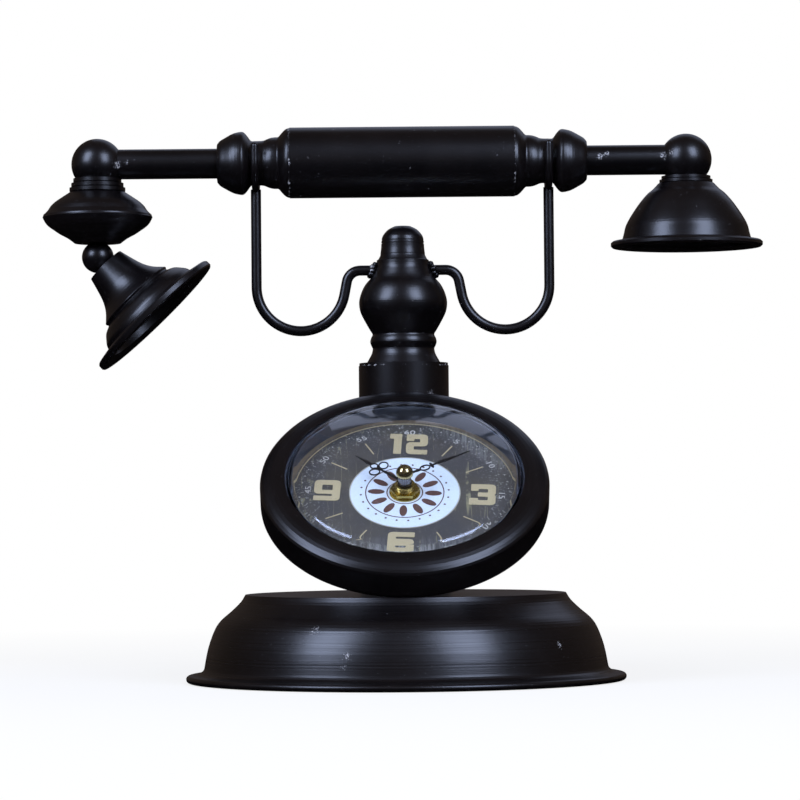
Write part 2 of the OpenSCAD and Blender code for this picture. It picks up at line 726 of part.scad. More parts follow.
weld_r = 2.4;
bead_r = 1;
bead_x = spindle_at(weld_z - rod_r - bead_r) + clear + bead_r;
module weld_beads() color("#3a3838") {
    for (side = [-1, 1])
        on_post() translate([side * bead_x, 0, weld_z]) rotate([0, 90, 0])
            rotate_extrude() intersection() {
                translate([rod_r + fit, 0]) circle(r = bead_r);
                translate([rod_r + fit, -2 * bead_r]) square([2 * bead_r, 4 * bead_r]);
            }
    difference() {
        union() {
            translate([0, contact_y - 1.2, base_h + 0.6]) sphere(r = weld_r);
            translate([0, post_y - post_r - 0.5,
                lip_z + edge_r * cos(face_tilt) + band_back * sin(face_tilt) - 3.4]) sphere(r = weld_r);
        }
        on_dial() case_outside();
        on_post() rod(post_r, base_h, base_h + post_len);
        translate([0, 0, base_h - 10]) cylinder(r = base_rim_r, h = 10);
    }
}

cup_wall = 1;
cover_t = 1;

module back_cover() color("#1b1a1b")
    on_dial() difference() {
        rotate_extrude()
            polygon([[0, case_back], [cover_r, case_back], [cover_r, dial_back - fit],
                [cover_r - cup_wall, dial_back - fit],
                [cover_r - cup_wall, case_back + cover_t], [0, case_back + cover_t]]);
        translate([-half_w - clear, -half_w - clear, case_back - 1])
            cube([2 * (half_w + clear), 2 * (half_w + clear), cover_t + 2]);
        at_screws() rod(screw_r + fit, cover_r - 3, cover_r + 3);
    }

screw_head_r = 1.9;
screw_head_h = 0.85;
screw_head_gap = 0.15;   // the head's flat face over the round band
module cover_screws() color("#1b1a1b")
    on_dial() at_screws() {
        rod(screw_r, cover_r - cup_wall - 1, case_r + screw_head_gap + eps);
        rod(screw_head_r, case_r + screw_head_gap, case_r + screw_head_gap + screw_head_h);
    }

// Domed lens: flange under the lip, then a spherical cap
dome_r = lip_r - 0.5;
dome_steps = 14;
// The flange lies under the lip, where the lip's inner curve is lowest over it
flange_top = band_front - fit + (case_front_drop - case_wall)
    * sqrt(1 - pow((ring_r - lip_r) / (lip_width - case_wall), 2));
dome_h = lens_rise - flange_top;
dome_ball_r = (dome_r * dome_r + dome_h * dome_h) / (2 * dome_h);
dome_half = asin(dome_r / dome_ball_r);

module lens() color("white", 0.3)
    on_dial() rotate_extrude()
        polygon(concat(
            [for (i = [0:dome_steps]) let (a = dome_half * i / dome_steps)
                [dome_ball_r * sin(a), lens_rise - dome_ball_r * (1 - cos(a))]],
            [[ring_r, flange_top], [ring_r, flange_top - lens_flange_t],
             [dome_r - lens_t, flange_top - lens_flange_t]],
            [for (i = [dome_steps - 1:-1:0]) let (a = dome_half * i / dome_steps)
                let (r = dome_ball_r - lens_t)
                [r * sin(a), lens_rise - dome_ball_r + r * cos(a)]]));

ring_top = flange_top - lens_flange_t - fit;
module dial_ring() color("#8a8a86")
    on_dial() rotate_extrude()
        polygon([[dome_r - lens_t - 0.4, ring_top], [ring_r, ring_top], [ring_r, ring_top - 0.8],
            [dial_r + 3.4, ring_top - 0.8], [dial_r + 1.2, dial_z], [dial_r, dial_z],
            [dial_r, dial_z + 0.4]]);

module dial_plate() color("#2f2e2a")
    on_dial() ring(cover_r, bush_r + clear, dial_back, dial_t);

module centre_disc() color("#e8e6ee")
    on_dial() ring(disc_r, bush_r + clear, dial_z, print_t);

// Square-built digits in a box of the given width and height, drawn with one stroke width
stroke = numeral_h * 0.235;
module bar(x0, y0, x1, y1) translate([x0, y0]) square([x1 - x0, y1 - y0]);
module digit(n, w, h) {
    mid0 = (h - stroke) / 2;
    mid1 = (h + stroke) / 2;
    if (n == 1) union() {
        bar(w - stroke, 0, w, h);
        bar(0, h - stroke * 1.1, w - stroke + eps, h);
    }
    if (n == 2) union() {
        bar(0, h - stroke, w, h);
        bar(w - stroke, mid0, w, h);
        bar(0, mid0, w, mid1);
        bar(0, 0, stroke, mid1);
        bar(0, 0, w, stroke);
    }
    if (n == 3) union() {
        bar(w - stroke, 0, w, h);
        bar(0, h - stroke, w, h);
        bar(w * 0.25, mid0, w, mid1);
        bar(0, 0, w, stroke);
    }
    if (n == 6) difference() {
        square([w, h]);
        bar(stroke, stroke, w - stroke, mid0);
        bar(stroke, mid1, w + 1, h - stroke);
    }
    if (n == 9) rotate(180) translate([-w, -h]) digit(6, w, h);
}

module numeral(n, w, at) translate([at.x - w / 2, at.y - numeral_h / 2]) digit(n, w, numeral_h);

digit_w = numeral_h * 0.82;
module dial_numerals() color("#cfc9a8")
    on_dial() translate([0, 0, dial_z]) rotate([0, 0, -card_turn]) linear_extrude(print_t) {
        numeral(1, numeral_h * 0.38, [-numeral_h * 0.42, numeral_pitch_r]);
        numeral(2, numeral_h * 0.68, [numeral_h * 0.26, numeral_pitch_r]);
        numeral(3, digit_w, [numeral_pitch_r, 0]);
        numeral(6, digit_w, [0, -numeral_pitch_r]);
        numeral(9, digit_w, [-numeral_pitch_r, 0]);
    }

// ---------- movement ----------

module movement_housing() color("#202020")
    on_dial() difference() {
        union() {
            difference() {
                translate([-half_w, -half_w, housing_back]) cube([movement_w, movement_w, housing_d]);
                translate([-half_in, -half_in, housing_back - 1])
                    cube([2 * half_in, 2 * half_in, housing_d - housing_wall + 1]);
            }
            translate([-half_in - eps, bay_wall_y - housing_wall, housing_back])
                cube([2 * half_in + 2 * eps, housing_wall, housing_d - housing_wall + eps]);
            for (p = plate_posts) translate([p.x, p.y, 0]) rod(post_pin_r, plate_front, housing_in + eps);
        }
        rod(bush_r + fit, housing_in - 1, housing_front + 1);
        translate([change_at.x, change_at.y, 0])
            rod(change_arbor_r + fit, housing_in - 1, housing_in + pivot_seat + fit);
        for (p = [third_at, idler_at, rotor_at])
            translate([p.x, p.y, 0]) rod(pivot_r + fit, housing_in - 1, housing_in + pivot_seat + fit);
    }

module movement_cover() color("#202020")
    on_dial() difference() {
        union() {
            difference() {
                translate([-half_w, -half_w, cover_back]) cube([movement_w, movement_w, cover_d - fit]);
                translate([-half_in, -half_in, cover_in]) cube([2 * half_in, 2 * half_in, cover_d]);
            }
            translate([-half_in - eps, bay_wall_y - housing_wall, cover_in - eps])
                cube([2 * half_in + 2 * eps, housing_wall, cover_d - housing_wall - fit + eps]);
            translate([rotor_at.x, rotor_at.y, 0]) rod(1.2, cover_in - eps, magnet_z - clear);
        }
        translate([-half_in, bay_wall_y, cover_back - 1])
            cube([2 * half_in, half_in - bay_wall_y, housing_wall + 2]);
        translate([change_at.x, change_at.y, 0]) rod(change_arbor_r + fit, cover_back - 1, cover_in + 1);
        translate([rotor_at.x, rotor_at.y, 0]) rod(pivot_r + fit, cover_in, magnet_z);
    }

module train_plate() color("#b08d57")
    on_dial() difference() {
        translate([-plate_half_w, -plate_low, plate_back])
            cube([2 * plate_half_w, plate_low + plate_high, plate_t]);
        for (p = [third_at, idler_at, rotor_at, [0, 0]])
            translate([p.x, p.y, 0]) rod(pivot_r + fit, plate_back - 1, plate_front + 1);
        translate([change_at.x, change_at.y, 0])
            rod(change_arbor_r + clear, plate_back - 1, plate_front + 1);
    }

module centre_bush() color("#c9a54a")
    on_dial() ring(bush_r, pipe_r + fit, housing_in, bush_top - housing_in);

module dial_washer() color("#c9a54a")
    on_dial() ring(dial_washer_r, bush_r + fit, washer_z, dial_washer_t);

module dial_nut() color("#c9a54a")
    on_dial() translate([0, 0, nut_z]) difference() {
        cylinder(r = nut_flats / sqrt(3), h = dial_nut_h, $fn = 6);
        translate([0, 0, -1]) cylinder(r = bush_r + fit, h = dial_nut_h + 2);
    }

module hour_wheel() color("#e8e4d8")
    on_dial() difference() {
        union() {
            gear(hour_teeth, hour_mod, hour_level, wheel_t, change_dir + 180 / hour_teeth);
            rod(pipe_r, hour_level, pipe_top);
        }
        rod(arbor_r + fit, hour_level - 1, pipe_top + 1);
    }

// Hands lie along +y of their own frame, turned to their clock angle
loop_w = 0.9;
module hand_loop(x, y, r) translate([x, y]) difference() {
    circle(r = r);
    circle(r = r - loop_w);
}

side_loop_r = hour_len * 0.085;
mid_loop_r = hour_len * 0.07;
module hour_hand() color("#141414")
    on_dial() rotate([0, 0, -hour_angle]) translate([0, 0, hour_hand_z]) difference() {
        linear_extrude(hand_t) union() {
            circle(r = 3);
            polygon([[-0.9, 0], [0.9, 0], [0.6, hour_len * 0.56], [-0.6, hour_len * 0.56]]);
            for (x = [-1, 1]) hand_loop(x * (side_loop_r + 0.3), hour_len * 0.515, side_loop_r);
            hand_loop(0, hour_len * 0.61, mid_loop_r);
            polygon([[0.5, hour_len * 0.61 + mid_loop_r - loop_w / 2], [1, hour_len * 0.76], [0, hour_len],
                [-1, hour_len * 0.76], [-0.5, hour_len * 0.61 + mid_loop_r - loop_w / 2]]);
        }
        translate([0, 0, -1]) cylinder(r = pipe_r + fit, h = hand_t + 2);
    }

minute_loop_r = minute_len * 0.07;
minute_loop_y = minute_len * 0.31;
knot_w = 3;
module minute_hand() color("#141414")
    on_dial() rotate([0, 0, -minute_angle]) translate([0, 0, minute_hand_z]) difference() {
        linear_extrude(hand_t) union() {
            circle(r = 2.6);
            polygon([[-0.8, 0], [0.8, 0], [0.55, minute_loop_y - minute_loop_r + loop_w / 2],
                [-0.55, minute_loop_y - minute_loop_r + loop_w / 2]]);
            hand_loop(0, minute_loop_y, minute_loop_r);
            polygon([[0.5, minute_loop_y + minute_loop_r - loop_w / 2], [0.5, minute_len * 0.42],
                [0.9, minute_len * 0.62], [0, minute_len], [-0.9, minute_len * 0.62],
                [-0.5, minute_len * 0.42], [-0.5, minute_loop_y + minute_loop_r - loop_w / 2]]);
            translate([-knot_w / 2, minute_len * 0.41]) square([knot_w, loop_w]);
        }
        translate([0, 0, -1]) cylinder(r = arbor_r + fit, h = hand_t + 2);
    }

arbor_tail = centre_level - 0.4;
module minute_arbor() color("#c0c0c0")
    on_dial() difference() {
        union() {
            rod(arbor_r, arbor_tail, arbor_top);
            gear(minute_teeth, motion_mod, change_level - leaf_over, wheel_t + 2 * leaf_over,
                change_dir, true);
        }
        rod(pivot_r + fit, arbor_tail - 1, arbor_tail + 1);
    }

collar_r = 2.7;
module hand_collars() color("#8c8c8c")
    on_dial() {
        ring(collar_r, arbor_r + fit, collar_z, collar_low_h);
        ring(collar_r, arbor_r + fit, minute_hand_z + hand_t, collar_top_h);
    }

module cap_nut() color("#c9a54a")
    on_dial() difference() {
        union() {
            rod(2.6, cap_z, cap_ball_z);
            translate([0, 0, cap_ball_z]) sphere(r = cap_ball_r);
        }
        rod(arbor_r + fit, cap_z - 4, arbor_top + fit);
        rod(cap_ball_r + 1, cap_z - 4, cap_z);
    }

// Wheel with leaves on one arbor: teeth towards one neighbour, leaves towards another
change_arbor_end = cover_back - 0.4;
module change_wheel() color("#e8e4d8")
    on_axis(change_at) union() {
        gear(change_teeth, motion_mod, change_level, wheel_t, change_dir + 180 + 180 / change_teeth);
        gear(change_leaves, hour_mod, hour_level - leaf_over, wheel_t + 2 * leaf_over,
            change_dir + 180, true);
        rod(change_arbor_r, change_arbor_end, housing_in + pivot_seat);
    }

knob_set_h = 3.6;
knob_flutes = 16;
flute_r = 0.45;
module setting_knob() color("#202020")
    on_axis(change_at) difference() {
        rod(knob_set_r, change_arbor_end - knob_set_h, change_arbor_end);
        for (k = [0:knob_flutes - 1]) rotate([0, 0, 360 * k / knob_flutes]) translate([knob_set_r, 0, 0])
            rod(flute_r, change_arbor_end - knob_set_h - 1, change_arbor_end - 0.8);
    }

module centre_wheel() color("#c9a54a")
    on_dial() difference() {
        gear(centre_teeth, centre_mod, centre_level, wheel_t, third_dir + 180 / centre_teeth);
        rod(arbor_r + fit, centre_level - 1, centre_level + 2);
    }

module third_wheel() color("#e8e4d8")
    on_axis(third_at) union() {
        gear(third_teeth, third_mod, third_level, wheel_t, third_dir + 180 + 180 / third_teeth);
        gear(leaves, centre_mod, centre_level - leaf_over, wheel_t + 2 * leaf_over, third_dir + 180, true);
        rod(pivot_r, plate_front - pivot_seat, housing_in + pivot_seat);
    }

module second_wheel() color("#e8e4d8")
    on_dial() union() {
        gear(second_teeth, second_mod, second_level, wheel_t, idler_dir + 180 / second_teeth);
        gear(leaves, third_mod, third_level - leaf_over, wheel_t + 2 * leaf_over, third_dir, true);
        rod(pivot_r, plate_front - pivot_seat, arbor_tail + 0.8);
    }

module idler_wheel() color("#e8e4d8")
    on_axis(idler_at) union() {
        gear(idler_teeth, idler_mod, idler_level, wheel_t, rotor_dir + 180 / idler_teeth);
        gear(leaves, second_mod, second_level - leaf_over, wheel_t + 2 * leaf_over, idler_dir + 180, true);
        rod(pivot_r, plate_front - pivot_seat, housing_in + pivot_seat);
    }

module rotor() color("#555555")
    on_axis(rotor_at) union() {
        gear(leaves, idler_mod, idler_level - leaf_over, wheel_t + 2 * leaf_over, rotor_dir + 180, true);
        rod(rotor_magnet_r, magnet_z, magnet_z + magnet_t);
        rod(pivot_r, magnet_z - clear - pivot_seat, housing_in + pivot_seat);
    }

// Stator: a plate with the rotor's hole and a window, and the coil along the window's lower side
stator_z = magnet_z + (magnet_t - stator_t) / 2;
stator_left = -10;
stator_w = 26;
stator_over = 5;     // plate above the rotor's centre
window_left = -6.5;
window_w = 17;
window_h = 6;
module stator_coil() color("#b5651d")
    on_dial() union() {
        difference() {
            translate([stator_left, coil_y - 1, stator_z])
                cube([stator_w, rotor_at.y - coil_y + stator_over, stator_t]);
            translate([window_left, coil_y + coil_r + clear - window_h - 1, stator_z - 1])
                cube([window_w, window_h, stator_t + 2]);
            translate([rotor_at.x, rotor_at.y, 0])
                rod(rotor_magnet_r + rotor_gap, stator_z - 1, stator_z + 2);
        }
        translate([0, coil_y, stator_z + stator_t / 2]) rotate([0, 90, 0])
            rod(coil_r, window_left - eps, window_left + window_w + eps);
    }

// Circuit board and the two battery contacts
board_w = 8.5;
contact_w = 8;
contact_h = 10;
module circuit_contacts() color("#2f6b3a")
    on_dial() {
        translate([-half_in + clear, -half_in + clear, plate_back])
            cube([board_w, half_in + bay_wall_y - housing_wall - 2 * clear, plate_t]);
        for (x = [-half_in, half_in - contact_t])
            translate([x, bay_y - contact_w / 2, bay_z - contact_h / 2])
                cube([contact_t, contact_w, contact_h]);
    }

nub_r = 2.7;
nub_h = 1.2;
battery_back = -half_in + contact_t + 0.5;
module battery() color("#c98b3a")
    on_dial() translate([battery_back, bay_y, bay_z]) rotate([0, 90, 0]) union() {
        rod(battery_r, 0, battery_len);
        rod(nub_r, battery_len - eps, battery_len + nub_h);
    }

base_shell();
base_washer();
base_nut();
post_tie_rod();
post_tube();
post_cap();
post_spindle();
post_finial();
cradle_rod_left();
cradle_rod_right();
yoke_left();
yoke_right();
handle_tube();
handle_end_left();
handle_end_right();
arm_tube_left();
arm_tube_right();
handset_tie_rod();
elbow_left();
elbow_right();
collar_left();
collar_right();
saucer_upper();
saucer_lower();
saucer_stud();
mouthpiece_ball();
mouthpiece_horn();
earpiece_bell();
earpiece_stud();
case_shell();
weld_beads();
back_cover();
cover_screws();
lens();
dial_ring();
dial_plate();
dial_numerals();
centre_disc();
movement_housing();
movement_cover();
train_plate();
centre_bush();
dial_washer();
dial_nut();
hour_wheel();
hour_hand();
minute_arbor();
minute_hand();
hand_collars();
cap_nut();
change_wheel();
setting_knob();
centre_wheel();
third_wheel();
second_wheel();
idler_wheel();
rotor();
stator_coil();
circuit_contacts();
battery();
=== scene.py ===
import math
import bpy
from mathutils import Matrix, Vector


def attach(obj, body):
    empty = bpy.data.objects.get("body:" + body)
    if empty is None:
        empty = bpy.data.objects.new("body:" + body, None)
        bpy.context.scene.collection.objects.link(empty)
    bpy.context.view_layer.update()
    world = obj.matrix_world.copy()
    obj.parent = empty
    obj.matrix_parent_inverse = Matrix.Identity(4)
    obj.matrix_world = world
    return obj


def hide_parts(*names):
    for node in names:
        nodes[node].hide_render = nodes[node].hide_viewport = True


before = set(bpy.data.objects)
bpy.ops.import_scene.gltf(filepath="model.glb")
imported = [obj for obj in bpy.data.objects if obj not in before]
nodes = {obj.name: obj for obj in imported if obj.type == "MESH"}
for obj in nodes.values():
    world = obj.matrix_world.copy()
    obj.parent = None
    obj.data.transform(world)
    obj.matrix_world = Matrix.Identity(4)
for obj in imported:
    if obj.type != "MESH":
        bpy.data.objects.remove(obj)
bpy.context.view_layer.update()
mm = 0.001
print("frame loaded:", len(nodes), "nodes")

# where things stand, in mm, as the solid model has them
place = {
    "dialCentre": (0.0, -30.487, 87.364),  # middle of the case lip
    "dialTilt": 39.5,                      # degrees that the dial is raised from lying flat
    "cardDepth": 10.2,                     # printed card below the lip
    "cardTurn": 3.3,                       # degrees that the card sits clockwise in its case
    "postY": 46.0,
    "capSeam": 135.8,                      # height of the joint between the post tube and its cap
    "handleSeam": 49.5,                    # joints between the handle tube and its ends
}


# colours and nodes

def linear(hexColour):
    # sRGB hex to the linear values that the shader reads
    out = []
    for i in (1, 3, 5):
        c = int(hexColour[i:i + 2], 16) / 255
        out.append(c / 12.92 if c <= 0.04045 else ((c + 0.055) / 1.055) ** 2.4)
    return (*out, 1.0)


def dimmed(hexColour, share):
    return (*(share * c for c in linear(hexColour)[:3]), 1)


def addNode(tree, kind, *feeds, **settings):
    # feeds go to the inputs in their order: each is a value, another node or one of its outputs
    # a setting is an attribute of the node, the stops of a colour ramp, or an input by its name
    node = tree.nodes.new("ShaderNode" + kind)
    named = {}
    for key, value in settings.items():
        if key == "stops":
            for stop, (position, colour) in zip(node.color_ramp.elements, value):
                stop.position = position
                stop.color = colour
        elif hasattr(node, key):
            setattr(node, key, value)
        else:
            named[key] = value
    inputs = [socket for socket in node.inputs if socket.enabled]
    for socket, value in [*zip(inputs, feeds), *((node.inputs[key], named[key]) for key in named)]:
        if isinstance(value, bpy.types.Node):
            value = next(output for output in value.outputs if output.enabled)
        if isinstance(value, bpy.types.NodeSocket):
            tree.links.new(value, socket)
        else:
            socket.default_value = value
    return node


def newMaterial(name):
    material = bpy.data.materials.new(name)
    material.use_nodes = True
    tree = material.node_tree
    tree.nodes.clear()
    return material, tree


def reliefShader(tree, look, height, strength, depth, invert=False):
    # principled shader with a fine relief, depth in mm
    bump = addNode(tree, "Bump", Strength=strength, Distance=depth * mm, Height=height, invert=invert)
    shader = addNode(tree, "BsdfPrincipled", Normal=bump, **look)
    addNode(tree, "OutputMaterial", Surface=shader)


def objectSpace(tree):
    return addNode(tree, "TexCoord").outputs["Object"]


def spacing(size):
    # the scale at which a pattern's features lie size mm apart
    return 1 / (size * mm)


def between(low, high, lowColour=(0, 0, 0, 1), highColour=(1, 1, 1, 1)):
    # the stops of a ramp that runs between two values of a pattern
    return [(low, lowColour), (high, highColour)]


def fade(tree, source, start, width):
    # 0 up to start and 1 from start + width on, in mm; a negative width runs the other way
    past = addNode(tree, "Math", source, start * mm, operation="SUBTRACT")
    return addNode(tree, "Math", past, width * mm, operation="DIVIDE", use_clamp=True)


def nearness(tree, away, reach):
    # 1 at no distance and 0 from reach mm on
    share = addNode(tree, "Math", away, reach * mm, operation="DIVIDE")
    return addNode(tree, "Math", 1.0, share, operation="SUBTRACT", use_clamp=True)


def strongest(tree, masks):
    total = masks[0]
    for mask in masks[1:]:
        total = addNode(tree, "Math", total, mask, operation="MAXIMUM")
    return total


def together(tree, masks):
    # masks and shares multiplied, so that all of them have to hold
    total = masks[0]
    for mask in masks[1:]:
        total = addNode(tree, "Math", total, mask, operation="MULTIPLY")
    return total


# satin black enamel

enamel = {
    "black": "#050304", "brown": "#0d0808", "primer": "#7d7b80", "bareSteel": "#c4c1be", "ior": 1.56,
    "roughness": 0.27, "roughSpread": 0.08, "chipRoughness": 0.2, "lineRoughness": 0.2,
    "dustShare": 0.35, "peelHeight": 0.5, "lineHeight": 1.3, "relief": 0.22,
    # in mm
    "patch": 26, "orangePeel": 1.6, "lineSpacing": 0.7, "scuffGrain": 0.7, "seamGrain": 2.4,
    "chipGrain": 0.8, "dustGrain": 0.45, "reliefDepth": 0.12,
    # from where to where in the noise each mark sets in, and how much being near a worn place adds to it
    "patchEdge": (0.35, 0.7), "bareEdge": (0.4, 0.6), "chipEdge": (0.70, 0.78), "dustEdge": (0.72, 0.80),
    "scuffWeight": 0.30, "seamWeight": 0.17,
}

# worn places in mm: x, y, z and radius; the left rod weld's place is a painted highlight as well as wear
scuffs = {
    "base": [(-38, -73, 25, 5), (-42, -73, 21, 3), (-24, -81, 14, 3), (-25, -80, 9, 3), (63, -55, 17, 2.4),
             (20, -60, 35, 3)],
    "post": [(4, 36, 197, 3), (12, 30, 122, 4)],
    "handset": [(-125, 39, 225, 3), (-121, 40, 226, 1.8), (87, 40, 227, 2.8), (90, 40, 228, 2.2),
                (115, 40, 227, 3), (118.5, 38, 228, 2.8), (-60, 34, 222, 3), (64, 35, 220, 3)],
    "case": [(-52, -44, 70, 4), (36, -72, 62, 4)],
    # the left rod weld: pale flecks that paint in its highlight, as well as worn enamel
    "welds": [(0, -60, 36, 9), (-14, 42, 179, 3.5)],
}

# bare joints in mm: the axis that they cross, where, and half their width
seams = {
    "post": ("Z", [place["capSeam"]], 0.6),
    "handset": ("X", [-place["handleSeam"], place["handleSeam"]], 0.9),
}


def chipped(tree, near, weight, broken):
    # the enamel is gone where a worn place and the noise add up
    both = addNode(tree, "Math", near, weight, broken, operation="MULTIPLY_ADD")
    return addNode(tree, "ValToRGB", both, stops=between(*enamel["chipEdge"]))


def scuffMask(tree, at, zones):
    near = []
    for x, y, z, radius in zones:
        away = addNode(tree, "VectorMath", at, (x * mm, y * mm, z * mm), operation="DISTANCE")
        near.append(nearness(tree, away, radius))
    broken = addNode(tree, "TexNoise", at, spacing(enamel["scuffGrain"]), 4.0, 0.65)
    return chipped(tree, strongest(tree, near), enamel["scuffWeight"], broken)


def seamMask(tree, at, axis, positions, halfWidth):
    # bare edge along a joint that crosses one axis at the given places
    along = addNode(tree, "SeparateXYZ", at).outputs[axis]
    near = []
    for position in positions:
        past = addNode(tree, "Math", along, position * mm, operation="SUBTRACT")
        near.append(nearness(tree, addNode(tree, "Math", past, operation="ABSOLUTE"), halfWidth))
    broken = addNode(tree, "TexNoise", at, spacing(enamel["seamGrain"]), 4.0, 0.7)
    return chipped(tree, strongest(tree, near), enamel["seamWeight"], broken)


def satinEnamel(name, zones=(), spunLines=None, seam=None):
    # brushed-on satin enamel over steel: near black, soft cool sheens, pale chips where it has been knocked
    e = enamel
    material, tree = newMaterial(name)
    at = objectSpace(tree)
    patch = addNode(tree, "TexNoise", at, spacing(e["patch"]), 4.0, 0.6)
    tints = between(*e["patchEdge"], linear(e["black"]), linear(e["brown"]))
    colour = addNode(tree, "ValToRGB", patch, stops=tints)
    rough = addNode(tree, "Math", patch, e["roughSpread"], e["roughness"], operation="MULTIPLY_ADD")
    peel = addNode(tree, "TexNoise", at, spacing(e["orangePeel"]), 2.0, 0.5)
    height = together(tree, [peel, e["peelHeight"]])
    if spunLines:
        # lines that the spinning tool leaves, a fraction of a mm apart, drawn a little coarser to show
        upright = addNode(tree, "SeparateXYZ", at).outputs["Z"]
        lines = addNode(tree, "TexNoise", upright, spacing(spunLines), 4.0, noise_dimensions="1D")
        height = addNode(tree, "Math", lines, e["lineHeight"], height, operation="MULTIPLY_ADD")
        uneven = addNode(tree, "Math", lines, 0.5, operation="SUBTRACT")
        rough = addNode(tree, "Math", uneven, e["lineRoughness"], rough, operation="MULTIPLY_ADD")
    masks = [scuffMask(tree, at, zones)] if zones else []
    masks += [seamMask(tree, at, *seam)] if seam else []
    if masks:
        chip = strongest(tree, masks)
        grain = addNode(tree, "TexNoise", at, spacing(e["chipGrain"]), 3.0, 0.5)
        tints = between(*e["bareEdge"], linear(e["primer"]), linear(e["bareSteel"]))
        bare = addNode(tree, "ValToRGB", grain, stops=tints)
        colour = addNode(tree, "Mix", chip, colour, bare, data_type="RGBA")
        rough = addNode(tree, "Math", chip, e["chipRoughness"], rough, operation="MULTIPLY_ADD")
        height = addNode(tree, "Math", height, chip, operation="SUBTRACT")
    grit = addNode(tree, "TexNoise", at, spacing(e["dustGrain"]), 2.0, 0.7)
    dust = together(tree, [addNode(tree, "ValToRGB", grit, stops=between(*e["dustEdge"])), e["dustShare"]])
    colour = addNode(tree, "Mix", dust, colour, linear(e["primer"]), data_type="RGBA")
    look = {"IOR": e["ior"], "Base Color": colour, "Roughness": rough}
    reliefShader(tree, look, height, e["relief"], e["reliefDepth"])
    return material


enamelOnBase = satinEnamel("satin enamel on spun steel", scuffs["base"], spunLines=enamel["lineSpacing"])
enamelOnPost = satinEnamel("satin enamel on turned steel", scuffs["post"], seam=seams["post"])
enamelOnHandset = satinEnamel("satin enamel on the handset", scuffs["handset"], seam=seams["handset"])
enamelOnRods = satinEnamel("satin enamel on bent rod")
enamelOnCase = satinEnamel("satin enamel on pressed steel", scuffs["case"])
# the pale flecks on the left rod weld are a painted highlight as well as worn enamel
enamelAndHighlightOnBeads = satinEnamel("satin enamel over a weld bead, with a painted highlight", scuffs["welds"])


# metals, plastics and prints

plating = {"darkShare": 0.78, "relief": 0.12, "reliefDepth": 0.05}
plastic = {
    "darkShare": 0.85, "ior": 1.47, "roughSpread": 0.1, "relief": 0.2, "reliefDepth": 0.04,
    "wearGrain": 1.3, "wearEdge": (0.70, 0.74),
}
glassLook = {"ior": 1.5, "roughness": 0.02, "wave": 30, "relief": 0.05, "reliefDepth": 0.2}


def metal(name, hexColour, roughness, grain, uneven=0.06):
    # turned, drawn or plated metal: coloured highlights, a little uneven along a fine grain in mm
    material, tree = newMaterial(name)
    fine = addNode(tree, "TexNoise", objectSpace(tree), spacing(grain), 3.0, 0.5)
    dark = dimmed(hexColour, plating["darkShare"])
    tone = addNode(tree, "Mix", fine, dark, linear(hexColour), data_type="RGBA")
    rough = addNode(tree, "Math", fine, uneven, roughness, operation="MULTIPLY_ADD")
    look = {"Metallic": 1.0, "Base Color": tone, "Roughness": rough}
    reliefShader(tree, look, fine, plating["relief"], plating["reliefDepth"])
    return material


def mouldedPlastic(name, hexColour, roughness, pebble, worn=0.0, wornColour="#4a4844"):
    # moulded plastic, dried ink or lacquer: a soft sheen over a faint pebble in mm
    # worn is how far the surface has rubbed through to another colour
    p = plastic
    material, tree = newMaterial(name)
    at = objectSpace(tree)
    fine = addNode(tree, "TexNoise", at, spacing(pebble), 2.0, 0.5)
    dark = dimmed(hexColour, p["darkShare"])
    tone = addNode(tree, "Mix", fine, dark, linear(hexColour), data_type="RGBA")
    if worn:
        low, high = p["wearEdge"]
        rubbed = addNode(tree, "TexNoise", at, spacing(p["wearGrain"]), 5.0, 0.7)
        gone = addNode(tree, "ValToRGB", rubbed, stops=between(low - worn, high - worn))
        tone = addNode(tree, "Mix", gone, tone, linear(wornColour), data_type="RGBA")
    rough = addNode(tree, "Math", fine, p["roughSpread"], roughness, operation="MULTIPLY_ADD")
    look = {"IOR": p["ior"], "Base Color": tone, "Roughness": rough}
    reliefShader(tree, look, fine, p["relief"], p["reliefDepth"])
    return material


turnedBrass = metal("turned brass", "#d6c070", 0.20, 0.6)
polishedBrass = metal("polished brass", "#d8c78c", 0.10, 1.2, 0.03)
zincSteel = metal("zinc plated steel", "#b9bcc0", 0.30, 0.8)
nickelCollar = metal("nickel plated collar", "#8f9299", 0.18, 1.0)
enamelledCopper = metal("enamelled copper wire", "#b5622e", 0.3, 0.25)
ferriteMagnet = mouldedPlastic("pressed ferrite magnet", "#3a3a3d", 0.5, 0.5)
blackAbs = mouldedPlastic("moulded black ABS", "#191919", 0.42, 0.6)
whiteNylon = mouldedPlastic("moulded white acetal", "#e4e0d4", 0.4, 0.6)
circuitBoard = mouldedPlastic("green circuit board", "#2f5a38", 0.4, 0.5)
batterySleeve = mouldedPlastic("shrink sleeve over a steel can", "#24406a", 0.3, 2.0)
lacqueredHand = mouldedPlastic("black lacquer on stamped steel", "#0c0c0e", 0.28, 0.8)
greyRing = mouldedPlastic("blue grey enamel on the dial ring", "#3f444d", 0.34, 1.5)
creamPrint = mouldedPlastic("cream printing ink", "#aa9c76", 0.5, 0.7, 0.07, "#6c685c")
palePrint = mouldedPlastic("pale printing ink", "#b2afa4", 0.5, 0.7, 0.10)
goldPrint = mouldedPlastic("dull gold printing ink", "#a3a08e", 0.45, 0.7, 0.05)
whitePrint = mouldedPlastic("lavender white printed paper", "#c9d3d8", 0.5, 1.2)
brownPrint = mouldedPlastic("brown printing ink", "#54382f", 0.5, 0.7, 0.06, "#8d7d78")


